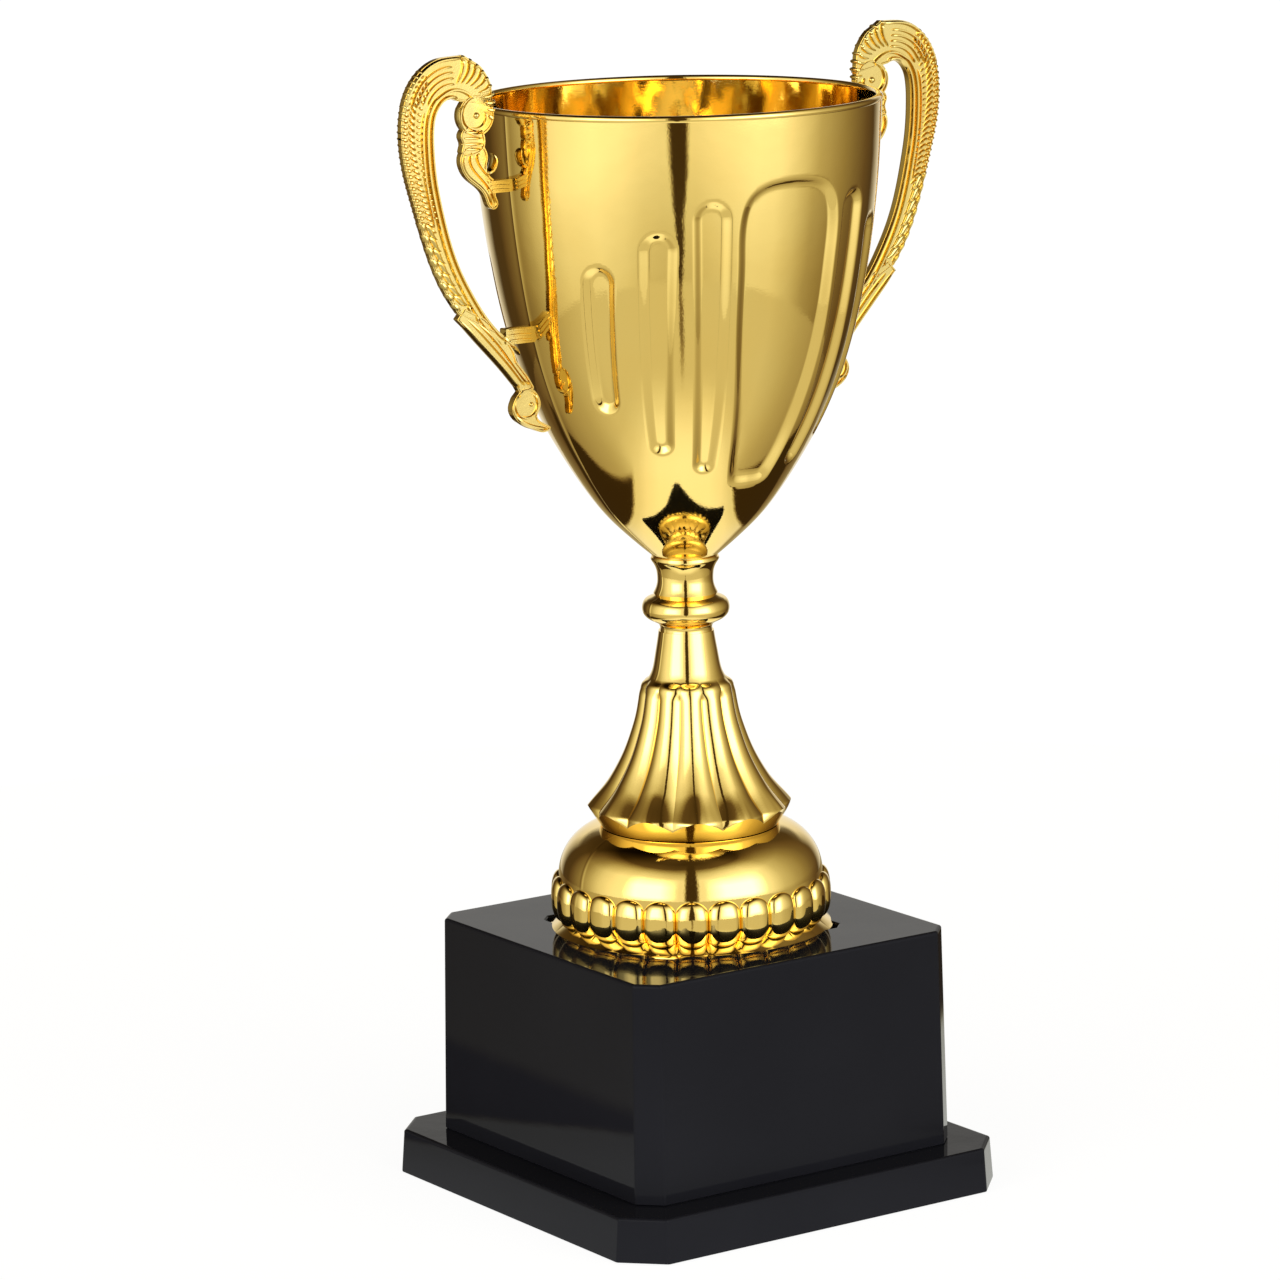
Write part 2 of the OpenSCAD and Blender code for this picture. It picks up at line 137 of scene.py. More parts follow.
def makePiece(name, verts, faces, material, replaced, crease=32):
    mesh = bpy.data.meshes.new(name)
    mesh.from_pydata((np.asarray(verts, float) * mm).tolist(), [], faces)
    tidy = bmesh.new()
    tidy.from_mesh(mesh)
    bmesh.ops.remove_doubles(tidy, verts=tidy.verts, dist=0.002 * mm)
    bmesh.ops.recalc_face_normals(tidy, faces=tidy.faces)
    tidy.to_mesh(mesh)
    tidy.free()
    mesh.shade_smooth()
    mesh.set_sharp_from_angle(angle=math.radians(crease))
    mesh.materials.append(material)
    piece = bpy.data.objects.new(name, mesh)
    bpy.context.scene.collection.objects.link(piece)
    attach(piece, "root")
    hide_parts(*replaced)
    print("made", name, len(mesh.polygons), "faces")
    return piece


def turned(profile, angles, shape=None):
    # closed (radius, height) outline turned round Z; shape may move each ring's points
    rows = np.asarray(profile, float)
    r = np.repeat(rows[:, :1], len(angles), 1)
    z = np.repeat(rows[:, 1:2], len(angles), 1)
    theta = np.tile(angles, (len(rows), 1))
    if shape:
        r, z = shape(r, z, theta)
    return wrapRows(r, z, theta[0])


def evenAngles(count):
    return np.linspace(-math.pi, math.pi, count, endpoint=False)


def lobeAngles(lobes, steps, bunched, shift=0.0):
    # columns that gather towards the grooves between lobes
    even = np.linspace(-1, 1, steps + 1)[:-1]
    fold = np.sin(even * math.pi / 2) * bunched + even * (1 - bunched)
    angles = np.concatenate([(k + shift + 0.5 * fold) * 2 * math.pi / lobes for k in range(lobes)])
    return np.sort((angles + math.pi) % (2 * math.pi) - math.pi)


def stackRows(rows, angles):
    # rows of (radius, height), each a single number or one number per column
    ones = np.ones_like(angles)
    return np.array([row[0] * ones for row in rows]), np.array([row[1] * ones for row in rows])


def wrapRows(r, z, angles):
    verts = np.stack([r * np.sin(angles), -r * np.cos(angles), z], -1).reshape(-1, 3)
    return verts, gridFaces(len(r), len(angles))


def moulding(theta, height=0.1, width=0.008):
    # thin raised line where the two mould halves met, at both sides
    return height * np.exp(-((np.abs(theta) - math.pi / 2) / width) ** 2)


def withMouldLine(count, spread=0.03):
    # even columns, with closer ones where the mould line runs
    extra = np.linspace(-spread, spread, 15)
    both = [evenAngles(count)] + [side * math.pi / 2 + extra for side in (-1, 1)]
    angles = np.unique(np.round(np.concatenate(both), 5))
    keep = np.concatenate([[True], np.diff(angles) > 0.0009])
    return angles[keep]


# finishes
def newMaterial(name):
    material = bpy.data.materials.new(name)
    material.use_nodes = True
    tree = material.node_tree
    return material, tree, tree.nodes["Principled BSDF"]


def addNode(tree, kind, **settings):
    node = tree.nodes.new(kind)
    for key, value in settings.items():
        if key in node.inputs:
            node.inputs[key].default_value = value
        else:
            setattr(node, key, value)
    return node


def addRamp(tree, source, stops, interpolation="LINEAR"):
    ramp = tree.nodes.new("ShaderNodeValToRGB")
    ramp.color_ramp.interpolation = interpolation
    elements = ramp.color_ramp.elements
    while len(elements) < len(stops):
        elements.new(0.5)
    for element, (at, colour) in zip(elements, stops):
        element.position = at
        element.color = (*colour, 1) if hasattr(colour, "__len__") else (colour, colour, colour, 1)
    tree.links.new(source, ramp.inputs["Fac"])
    return ramp.outputs["Color"]


def addBump(tree, shader, layers):
    # layers: (texture output, depth); each bump feeds the next
    last = None
    for height, distance in layers:
        bump = tree.nodes.new("ShaderNodeBump")
        bump.inputs["Distance"].default_value = distance
        tree.links.new(height, bump.inputs["Height"])
        if last:
            tree.links.new(last, bump.inputs["Normal"])
        last = bump.outputs["Normal"]
    tree.links.new(last, shader.inputs["Normal"])


goldLook = {
    "colour": (1.0, 0.75, 0.25),
    "deepColour": (1.0, 0.72, 0.22),
    "roughness": (0.03, 0.07),
    "waviness": 0.06 * mm,
    "grain": 0.004 * mm,
}


def platedGold(name, look):
    material, tree, shader = newMaterial(name)
    shader.inputs["Metallic"].default_value = 1
    place = addNode(tree, "ShaderNodeTexCoord").outputs["Object"]
    cloud = addNode(tree, "ShaderNodeTexNoise", Scale=38, Detail=3)
    swirl = addNode(tree, "ShaderNodeTexNoise", Scale=95, Detail=2)
    dust = addNode(tree, "ShaderNodeTexNoise", Scale=2600, Detail=2)
    for texture in (cloud, swirl, dust):
        tree.links.new(place, texture.inputs["Vector"])
    tint = addRamp(tree, cloud.outputs["Fac"], [(0.35, look["colour"]), (0.7, look["deepColour"])])
    tree.links.new(tint, shader.inputs["Base Color"])
    low, high = look["roughness"]
    gloss = addRamp(tree, dust.outputs["Fac"], [(0.35, low), (0.72, high)])
    tree.links.new(gloss, shader.inputs["Roughness"])
    addBump(tree, shader, [(swirl.outputs["Fac"], look["waviness"]), (dust.outputs["Fac"], look["grain"])])
    return material


# handle gold: its colour is darker than the bowl's, painted shade that tones down the strong light the handles
# catch
handleLook = {
    "colour": (0.8, 0.63, 0.23),
    "deepColour": (0.78, 0.56, 0.17),
    "roughness": (0.07, 0.13),
    "waviness": 0.06 * mm,
    "grain": 0.01 * mm,
}

blackLook = {
    "colour": (0.0105, 0.0106, 0.0145),
    "paler": (0.0125, 0.0126, 0.017),
    "roughness": (0.035, 0.07),
    "ior": 1.15,
    "hairScale": (900, 900, 14),     # fine upright draw marks
    "waviness": 0.12 * mm,
    "hairDepth": 0.002 * mm,
    "specks": 0.004 * mm,
}


def moulded(look):
    material, tree, shader = newMaterial("glossBlack")
    place = addNode(tree, "ShaderNodeTexCoord").outputs["Object"]
    cloud = addNode(tree, "ShaderNodeTexNoise", Scale=22, Detail=4)
    stretch = addNode(tree, "ShaderNodeMapping")
    stretch.inputs["Scale"].default_value = look["hairScale"]
    hair = addNode(tree, "ShaderNodeTexNoise", Scale=1, Detail=1)
    speck = addNode(tree, "ShaderNodeTexNoise", Scale=1500, Detail=1)
    tree.links.new(place, stretch.inputs["Vector"])
    tree.links.new(stretch.outputs["Vector"], hair.inputs["Vector"])
    for texture in (cloud, speck):
        tree.links.new(place, texture.inputs["Vector"])
    tint = addRamp(tree, cloud.outputs["Fac"], [(0.4, look["colour"]), (0.75, look["paler"])])
    tree.links.new(tint, shader.inputs["Base Color"])
    low, high = look["roughness"]
    gloss = addRamp(tree, cloud.outputs["Fac"], [(0.35, low), (0.7, high)])
    tree.links.new(gloss, shader.inputs["Roughness"])
    shader.inputs["IOR"].default_value = look["ior"]
    addBump(tree, shader, [(cloud.outputs["Fac"], look["waviness"]), (hair.outputs["Fac"], look["hairDepth"]),
                           (speck.outputs["Fac"], look["specks"])])
    return material


zincLook = {
    "colour": (0.62, 0.63, 0.6),
    "warm": (0.5, 0.47, 0.38),
    "roughness": (0.22, 0.4),
    "grain": 0.01 * mm,
}


def zincPlated(look):
    material, tree, shader = newMaterial("zincSteel")
    shader.inputs["Metallic"].default_value = 1
    place = addNode(tree, "ShaderNodeTexCoord").outputs["Object"]
    cloud = addNode(tree, "ShaderNodeTexNoise", Scale=300, Detail=4)
    tree.links.new(place, cloud.inputs["Vector"])
    tint = addRamp(tree, cloud.outputs["Fac"], [(0.4, look["colour"]), (0.75, look["warm"])])
    tree.links.new(tint, shader.inputs["Base Color"])
    low, high = look["roughness"]
    tree.links.new(addRamp(tree, cloud.outputs["Fac"], [(0.3, low), (0.7, high)]), shader.inputs["Roughness"])
    addBump(tree, shader, [(cloud.outputs["Fac"], look["grain"])])
    return material


plate = platedGold("platedGold", goldLook)
handlePlate = platedGold("handleGold", handleLook)
black = moulded(blackLook)
zinc = zincPlated(zincLook)
print("finishes ready")

# camera
shot = {
    "aim": (-8.28, 5.66, 120.43),
    "distance": 1217.7,
    "azimuth": -34.37,
    "elevation": 11.33,
    "roll": -1.13,
    "lens": 158.4,
}


def setCamera(shot):
    a, e = math.radians(shot["azimuth"]), math.radians(shot["elevation"])
    back = Vector((math.sin(a) * math.cos(e), -math.cos(a) * math.cos(e), math.sin(e)))
    data = bpy.data.cameras.new("camera")
    data.lens = shot["lens"]
    data.sensor_width = 36
    data.clip_start, data.clip_end = 0.05, 50
    camera = bpy.data.objects.new("camera", data)
    bpy.context.scene.collection.objects.link(camera)
    aim = Vector(shot["aim"]) * mm
    turn = (-back).to_track_quat("-Z", "Y").to_matrix() @ Matrix.Rotation(math.radians(shot["roll"]), 3, "Z")
    camera.matrix_world = Matrix.Translation(aim + back * shot["distance"] * mm) @ turn.to_4x4()
    bpy.context.scene.camera = camera


setCamera(shot)

# studio: soft boxes left and right of the camera, a pale wall behind, and a floor below that glows with a
# painted lit table, painted shade and a painted gap, seen in reflections
studio = {
    "front": shot["azimuth"],
    # brightness round the horizon: (degrees from the front, brightness)
    "around": [
        (-180, 0.05), (-133, 0.07), (-119, 0.2), (-109, 0.32), (-100, 0.5), (-88, 0.8), (-72, 1.08),
        (-50, 1.24), (-34, 1.15), (-21, 1.0), (-10, 0.95), (10, 1.0), (23, 1.16), (46, 1.42), (60, 1.36),
        (73, 1.05), (88, 0.64), (104, 0.44), (120, 0.27), (133, 0.16), (150, 0.08), (180, 0.05),
    ],
    # how the soft boxes fade below and above: (degrees up, share)
    "upward": [(-90, 0.58), (-27, 0.6), (-20, 0.72), (-14, 0.84), (-9, 1), (34, 1), (48, 0.6), (60, 0.09),
               (72, 0.05), (90, 0.06)],
    "lean": -0.06,                   # the left box sits lower than the right one
    # dark gap between the boxes: half its width in degrees at each height
    "gap": [(-90, 1.1), (-30, 1.1), (-25, 1.5), (-19, 2.6), (-14, 4.6), (-9, 5.8), (90, 6)],
    "gapSoft": (0.75, 1.3),          # shares of that width over which it fades
    "gapShade": 0.05,
    # painted shade: the gap between the soft boxes is painted as a dark stripe on the glowing floor
    "floorGap": (1.6, 0.6),          # the gap seen on the floor, in degrees
    "floorGapFrom": (190, 330),
    "floorGapDepth": 0.8,
    # bright cores of the soft boxes
    "cores": [(-62, 0), (-50, 1.0), (-28, 1.0), (-12, 0), (12, 0), (30, 1.0), (56, 1.0), (70, 0)],
    "coreUpward": [(-10, 0), (-2, 1), (20, 1), (38, 0)],
    "coreStrength": 2.2,
    # pale wall behind, bright low down
    "wall": [(-180, 1), (-162, 0.8), (-146, 0), (146, 0), (162, 0.8), (180, 1)],
    "wallUpward": [(-30, 0.5), (-12, 0.8), (2, 0.8), (15, 0.8), (20, 0.12), (26, 0)],
    "wallStrength": 1.15,
    # a brightness and the colour it takes: dim light here is warm
    "warmth": [(0.0, (0, 0, 0)), (0.035, (0.037, 0.022, 0.008)), (0.12, (0.125, 0.083, 0.04)),
               (0.3, (0.30, 0.25, 0.14)), (0.5, (0.5, 0.46, 0.32)), (0.75, (0.75, 0.73, 0.6)),
               (1.0, (1.0, 1.0, 0.92)), (1.3, (1.27, 1.3, 1.24)), (2.0, (2, 2, 2))],
    # painted light that the glowing floor throws back, by direction; the same on both sides
    "floorAround": [(0, 0.67), (40, 0.67), (60, 0.66), (75, 0.56), (88, 0.46), (98, 0.41), (112, 0.33),
                    (122, 0.18), (135, 0.1), (150, 0.2), (165, 0.42), (180, 0.6)],
    # painted light: a lit table under the cup, painted on the glowing floor, in millimetres
    "tableHalf": 102,
    "tableAcross": [(0, 1.14), (50, 1.12), (75, 1.0), (92, 0.84), (110, 0.8)],
    "tableFront": (250, 80),
    "tableBack": (-200, -140),
    "tableSide": (2, -6),            # crisp edge beside the cup
    "tableSideAhead": (45, -15),     # soft edge in front of it
    "softFrom": (20, 60),
    # painted shade on the floor beside and behind the table
    "gloom": 0.035,
    "gloomCorner": (105, 30, 1.38),
    "gloomBack": (-235, -205),
    # what the camera itself sees
    "backdrop": 1.05,
    "floorPale": 0.16,
    "floorLight": 0.93,
}


def mathNode(tree, operation, *values):
    node = tree.nodes.new("ShaderNodeMath")
    node.operation = operation
    for i, value in enumerate(values):
        if isinstance(value, (int, float)):
            node.inputs[i].default_value = value
        else:
            tree.links.new(value, node.inputs[i])
    return node.outputs[0]


def easedStep(tree, value, start, end):
    # 0 on the start's side, 1 on the end's side
    node = tree.nodes.new("ShaderNodeMapRange")
    node.interpolation_type = "SMOOTHSTEP"
    node.inputs["From Min"].default_value = min(start, end)
    node.inputs["From Max"].default_value = max(start, end)
    node.inputs["To Min"].default_value = 0 if start < end else 1
    node.inputs["To Max"].default_value = 1 if start < end else 0
    tree.links.new(value, node.inputs["Value"])
    return node.outputs["Result"]


def product(tree, *values):
    total = values[0]
    for value in values[1:]:
        total = mathNode(tree, "MULTIPLY", total, value)
    return total


def blend(tree, a, b, share):
    # a where share is 0, b where share is 1
    rest = mathNode(tree, "SUBTRACT", 1, share)
    return mathNode(tree, "ADD", product(tree, a, rest), product(tree, share, b))


def facingFront(tree, vector, front):
    # (right, towards the camera's side, up) of a vector
    turn = tree.nodes.new("ShaderNodeVectorRotate")
    turn.rotation_type = "Z_AXIS"
    turn.inputs["Angle"].default_value = -math.radians(front)
    tree.links.new(vector, turn.inputs["Vector"])
    apart = tree.nodes.new("ShaderNodeSeparateXYZ")
    tree.links.new(turn.outputs["Vector"], apart.inputs["Vector"])
    x, y, z = apart.outputs
    return x, mathNode(tree, "MULTIPLY", y, -1), z


def overRange(tree, value, stops, low, high, most=2):
    # piecewise amount over a range; ramps hold 0 to 1, so amounts are kept as shares of the most
    share = mathNode(tree, "MULTIPLY_ADD", value, 1 / (high - low), -low / (high - low))
    colour = addRamp(tree, share, [((at - low) / (high - low), v / most) for at, v in stops])
    return mathNode(tree, "MULTIPLY", colour, most)


def warmed(tree, brightness, stops):
    half = mathNode(tree, "MULTIPLY", brightness, 0.5)
    return addRamp(tree, half, [(0.5 * at, tuple(0.5 * c for c in colour)) for at, colour in stops])


def softBoxes(tree, studio, turn, tilt):
    leaned = mathNode(tree, "ADD", tilt, mathNode(tree, "MULTIPLY", turn, studio["lean"]))
    lit = product(tree, overRange(tree, turn, studio["around"], -180, 180),
                  overRange(tree, leaned, studio["upward"], -90, 90))
    gapHalf = overRange(tree, tilt, studio["gap"], -90, 90, 10)
    apart = mathNode(tree, "DIVIDE", mathNode(tree, "ABSOLUTE", turn), gapHalf)
    return blend(tree, studio["gapShade"], lit, easedStep(tree, apart, *studio["gapSoft"]))


def coresAndWall(tree, studio, turn, tilt):
    cores = product(tree, overRange(tree, turn, studio["cores"], -180, 180),
                    overRange(tree, tilt, studio["coreUpward"], -90, 90), studio["coreStrength"])
    wall = product(tree, overRange(tree, turn, studio["wall"], -180, 180),
                   overRange(tree, tilt, studio["wallUpward"], -90, 90), studio["wallStrength"])
    return mathNode(tree, "ADD", cores, wall)


def addShaders(tree, first, second):
    both = tree.nodes.new("ShaderNodeAddShader")
    tree.links.new(first.outputs[0], both.inputs[0])
    tree.links.new(second.outputs[0], both.inputs[1])
    return both


def plainToCamera(tree, mirrored, plain, endKind):
    # the plating mirrors one thing, the backdrop itself stays plain
    pick = tree.nodes.new("ShaderNodeMixShader")
    seen = tree.nodes.new("ShaderNodeLightPath").outputs["Is Camera Ray"]
    tree.links.new(seen, pick.inputs[0])
    tree.links.new(mirrored.outputs[0], pick.inputs[1])
    tree.links.new(plain.outputs[0], pick.inputs[2])
    tree.links.new(pick.outputs[0], tree.nodes.new(endKind).inputs["Surface"])


def buildWorld(studio):
    world = bpy.data.worlds.new("studio")
    bpy.context.scene.world = world
    world.use_nodes = True
    tree = world.node_tree
    tree.nodes.clear()
    direction = tree.nodes.new("ShaderNodeTexCoord").outputs["Generated"]
    x, towards, z = facingFront(tree, direction, studio["front"])
    turn = mathNode(tree, "MULTIPLY", mathNode(tree, "ARCTAN2", x, towards), 180 / math.pi)
    tilt = mathNode(tree, "MULTIPLY", mathNode(tree, "ARCSINE", z), 180 / math.pi)
    warm = addNode(tree, "ShaderNodeBackground", Strength=2)
    boxes = softBoxes(tree, studio, turn, tilt)
    tree.links.new(warmed(tree, boxes, studio["warmth"]), warm.inputs["Color"])
    white = addNode(tree, "ShaderNodeBackground", Color=(1, 1, 0.97, 1))
    tree.links.new(coresAndWall(tree, studio, turn, tilt), white.inputs["Strength"])
    plain = addNode(tree, "ShaderNodeBackground", Color=(1, 1, 1, 1), Strength=studio["backdrop"])
    plainToCamera(tree, addShaders(tree, warm, white), plain, "ShaderNodeOutputWorld")


def gloomShare(tree, studio, across, ahead):
    # painted shade: the floor is darker beside and behind the table, up to a slanting line
    cornerX, cornerY, slope = studio["gloomCorner"]
    line = mathNode(tree, "MULTIPLY_ADD", across, -slope, cornerY + slope * cornerX)
    behindLine = mathNode(tree, "SUBTRACT", line, ahead)
    half = studio["tableHalf"]
    return product(tree, easedStep(tree, across, half - 6, half), easedStep(tree, behindLine, -8, 8),
                   easedStep(tree, ahead, *studio["gloomBack"]))


def litTableShare(tree, studio, across, ahead):
    # painted light: share of the lit table on the floor, crisp beside the cup and soft in front of it
    half = studio["tableHalf"]
    crisp = [half + past for past in studio["tableSide"]]
    soft = [half + past for past in studio["tableSideAhead"]]
    sides = blend(tree, easedStep(tree, across, *crisp), easedStep(tree, across, *soft),
                  easedStep(tree, ahead, *studio["softFrom"]))
    return product(tree, sides, easedStep(tree, ahead, *studio["tableFront"]),
                   easedStep(tree, ahead, *studio["tableBack"]))


def floorBrightness(tree, studio):
    # painted light and shade of the glowing floor, as reflections see it: light by direction, gloom, a lit
    # table and the gap
    place = tree.nodes.new("ShaderNodeTexCoord").outputs["Object"]
    x, towards, _ = facingFront(tree, place, studio["front"])
    across = mathNode(tree, "ABSOLUTE", mathNode(tree, "MULTIPLY", x, 1 / mm))
    ahead = mathNode(tree, "MULTIPLY", towards, 1 / mm)
    turn = mathNode(tree, "MULTIPLY", mathNode(tree, "ARCTAN2", x, towards), 180 / math.pi)
    turned = mathNode(tree, "ABSOLUTE", turn)
    lit = overRange(tree, turned, studio["floorAround"], 0, 180)
    lit = blend(tree, lit, studio["gloom"], gloomShare(tree, studio, across, ahead))
    table = overRange(tree, across, studio["tableAcross"], 0, 120)
    lit = blend(tree, lit, table, litTableShare(tree, studio, across, ahead))
    # painted shade: the gap between the soft boxes as a dark stripe on the floor
    gap = product(tree, easedStep(tree, turned, *studio["floorGap"]),
                  easedStep(tree, ahead, *studio["floorGapFrom"]), studio["floorGapDepth"])
    return blend(tree, lit, studio["gapShade"], gap)


def paintedLightFloor(studio):
    material = bpy.data.materials.new("paintedLightFloor")
    material.use_nodes = True
    tree = material.node_tree
    tree.nodes.clear()
    # the floor glows: reflections see painted light and shade on it, the camera sees it evenly pale
    glow = addNode(tree, "ShaderNodeEmission", Strength=2.0)
    tree.links.new(warmed(tree, floorBrightness(tree, studio), studio["warmth"]), glow.inputs["Color"])
    pale = addNode(tree, "ShaderNodeBsdfDiffuse", Color=(*[studio["floorPale"]] * 3, 1))
    lit = addNode(tree, "ShaderNodeEmission", Color=(1, 1, 1, 1), Strength=studio["floorLight"])
    plainToCamera(tree, glow, addShaders(tree, pale, lit), "ShaderNodeOutputMaterial")
    return material


def buildFloor(studio, reach=450):
    floor = bpy.data.meshes.new("floor")
    disc = bmesh.new()
    bmesh.ops.create_circle(disc, cap_ends=True, segments=96, radius=reach * mm)
    disc.to_mesh(floor)
    disc.free()
    floor.materials.append(paintedLightFloor(studio))
    board = bpy.data.objects.new("floor", floor)
    bpy.context.scene.collection.objects.link(board)
    board.location.z = -0.2 * mm     # just below the plinth


buildWorld(studio)
buildFloor(studio)
bpy.context.scene.view_settings.view_transform = "Standard"
print("studio ready")

# bowl
bowlSize = {
    "line": [(7.2, 139.3), (8.3, 140.2), (11.6, 143.1), (16.8, 148.2), (21.0, 153.6), (26.0, 161.4),
             (30.3, 169.2), (36.3, 184.8), (40.75, 205.5), (42.95, 225), (43.55, 237.3)],
    "lipRadius": 0.8,
    "wall": 1.3,
    "floor": 3.5,
    "spigot": (4.25, 2.4),
    "depth": 1.3,                    # how far ribs and panel are pressed in
    "slope": 2.1,                    # width of their sloping sides
    "ribHalf": 5.75,                 # half width of a rib in degrees round the bowl
    # each rib: degrees round from the front at its foot and at its top, then the heights of both ends
    "ribs": [(25.3, 25.3, 160.8, 220.5), (43.8, 40.8, 165.3, 214.1), (63.2, 59.4, 174.4, 206.9)],
    # half outline of the panel: (sideways, height)
    "panel": [(0, 224.4), (5, 224.0), (8.6, 222.8), (11.2, 220.4), (12.5, 216.5), (12.5, 207), (12.0, 197),
              (10.9, 186), (9.3, 176.2), (7.4, 166.6), (5.9, 160.6), (4.6, 158.2), (2.6, 157.4), (0, 157.3)],
    "ripple": 0.02,                  # unevenness of the inside
}


def segmentDistance(px, pz, line):
    # shortest way from each point to a line of segments
    best = np.full(px.shape, 1e9)
    for (ax, az), (bx, bz) in zip(line[:-1], line[1:]):
        dx, dz = bx - ax, bz - az
        t = np.clip(((px - ax) * dx + (pz - az) * dz) / (dx * dx + dz * dz), 0, 1)
        best = np.minimum(best, np.hypot(px - ax - t * dx, pz - az - t * dz))
    return best


def pressed(depth, width, height):
    # flat-bottomed hollow: depth is how far inside the outline a point lies
    t = np.clip(depth / width, 0, 1)
    return height * (0.45 * t + 0.55 * ease(t))


def bowlHollows(r, z, theta, size, run, spare=0.0):
    # how far the wall is pressed in; run is the length along the bowl's side of each row
    hollow = np.zeros_like(r)
    folded = np.where(np.abs(theta) > math.pi / 2, math.pi - np.abs(theta), np.abs(theta))
    spot = np.repeat(run[:, None], r.shape[1], 1)
    for lowTurn, highTurn, low, high in size["ribs"]:
        half = r * math.radians(size["ribHalf"]) + spare
        turn = np.radians(np.interp(z, (low, high), (lowTurn, highTurn)))
        arc = r * (folded - turn)
        a, b = (np.interp(h, z[:, 0], run) for h in (low, high))
        lowHalf, highHalf = (np.interp(h, z[:, 0], half[:, 0]) for h in (low, high))
        past = np.maximum(np.maximum(a + lowHalf - spare - spot, spot - b + highHalf - spare), 0)
        hollow = np.maximum(hollow, pressed(half - np.hypot(arc, past), size["slope"], size["depth"]))
    outline = smoothLine(size["panel"], 90)
    side = np.abs(r * np.sin(folded))
    near = (side < 17) & (z > 153) & (z < 229)
    px, pz = side[near], z[near]
    gap = segmentDistance(px, pz, outline)
    width = np.interp(pz, outline[::-1, 1], outline[::-1, 0])
    inside = (px < width) & (pz < outline[0, 1]) & (pz > outline[-1, 1])
    depthIn = np.where(inside, gap, -gap) + spare
    hollow[near] = np.maximum(hollow[near], pressed(depthIn, size["slope"], size["depth"]))
    return hollow


def bowlAngles(size):
    # columns are closest together on the sloping sides of ribs and panel, and at the mould line
    centres = [(low + high) / 2 for low, high, _, _ in size["ribs"]]
    quarter, at = [], 0.0
    while at < 90:
        quarter.append(at)
        offset = min(abs(at - c) for c in centres)
        if 1.5 < offset < 7.6 or 12.3 < at < 18.2:
            at += 0.34
        elif offset <= 1.5:
            at += 0.62
        elif at > 89:
            at += 0.12
        else:
            at += 0.9
    quarter = np.array(quarter)
    everywhere = np.concatenate([quarter, 180 - quarter, -quarter, quarter - 180, [90, -90]])
    return np.radians(np.unique(np.round(everywhere[everywhere > -179.99], 4)))


def bowlRows(line):
    # rows lie closer together at the ends of the ribs and of the panel
    fine = smoothLine(line, 900)
    run = np.concatenate([[0], np.cumsum(np.linalg.norm(np.diff(fine, axis=0), axis=1))])
    picked, at = [], 0.0
    while at < run[-1]:
        up = np.interp(at, run, fine[:, 1])
        picked.append(at)
        at += 0.5 if 156.5 < up < 180 or 201.5 < up < 225.5 else 1.1
    picked.append(run[-1])
    rows = np.stack([np.interp(picked, run, fine[:, 0]), np.interp(picked, run, fine[:, 1])], 1)
    return rows, np.array(picked)


def bowlFootLine(size, outer, floorAt):
    spigotR, spigotH = size["spigot"]
    return rounded([(rodBore, floorAt, 0.3), (rodBore, bowlFoot - spigotH, 0.3),
                    (spigotR, bowlFoot - spigotH, 0.4), (spigotR, bowlFoot, 0.2), (7.1, bowlFoot, 0.25),
                    (outer[0][0], outer[0][1], 0.0)])[:-1]


def bowlLip(size, topR):
    radius = size["lipRadius"]
    centre = np.array((topR + 0.2 - radius, rimTop - radius))
    return [centre + radius * np.array((math.cos(a), math.sin(a)))
            for a in np.radians(np.arange(-50, 241, 12))]


def insideRipple(theta, z):
    # slow unevenness of the thin wall, as the inside mirrors it
    return np.sin(9 * theta + 0.35 * z) + np.sin(17 * theta - 0.22 * z + 1) \
        + 0.7 * np.sin(31 * theta + 0.5 * z + 2) + 0.5 * np.sin(53 * theta - 0.9 * z)


def makeBowl(size):
    outer, run = bowlRows(size["line"])
    normal = outwardNormals(outer)
    floorAt = bowlFoot + size["floor"]
    used = np.arange(len(outer))[outer[:, 1] > floorAt + 3.5]
    used = used[::-1][::2]           # rows of the inside, from the top down
    inner = outer[used] - normal[used] * size["wall"]
    floorR, floorZ = inner[-1]
    floorLine = [(floorR - 2.2, floorZ - 1.8), (floorR - 4.5, max(floorZ - 3.0, floorAt + 0.1)),
                 (floorR - 6, floorAt)]
    below, lip = bowlFootLine(size, outer, floorAt), bowlLip(size, outer[-1][0])
    profile = np.concatenate([below, outer, lip, inner, floorLine])
    rows = slice(len(below), len(below) + len(outer))
    backs = slice(rows.stop + len(lip), rows.stop + len(lip) + len(inner))

    def emboss(r, z, theta):
        hollow = bowlHollows(r[rows], z[rows], theta[rows], size, run)
        behind = bowlHollows(r[rows], z[rows], theta[rows], size, run, 1.0)[used]
        lift = moulding(theta[rows], 0.09, 0.006) * ease((z[rows] - bowlFoot) / 3) - hollow
        r[rows] += lift * normal[:, :1]
        z[rows] += lift * normal[:, 1:]
        behind = behind + size["ripple"] * insideRipple(theta[backs], z[backs])
        r[backs] -= behind * normal[used][:, :1]
        z[backs] -= behind * normal[used][:, 1:]
        return r, z

    verts, faces = turned(profile, bowlAngles(size), emboss)
    return makePiece("cupBowl", verts, faces, plate, ["bowl"], crease=50)


makeBowl(bowlSize)

# spool between the stem and the bowl
spoolSize = {
    "lower": [(5.7, 122.6), (5.75, 123.7), (6.6, 124.5), (8.3, 125.4), (9.35, 126.7), (9.45, 128.1),
              (8.75, 129.5), (7.3, 130.2), (6.75, 130.5)],
    "upper": [(6.95, 130.9), (6.55, 131.7), (6.15, 133.0), (6.1, 134.6), (6.35, 136.2), (6.9, 137.4),
              (7.3, 138.0)],
    "lip": [(7.45, 138.35), (7.3, 138.8)],
    "socket": (4.45, 2.7),
    "spigot": (3.65, 2.4),
}


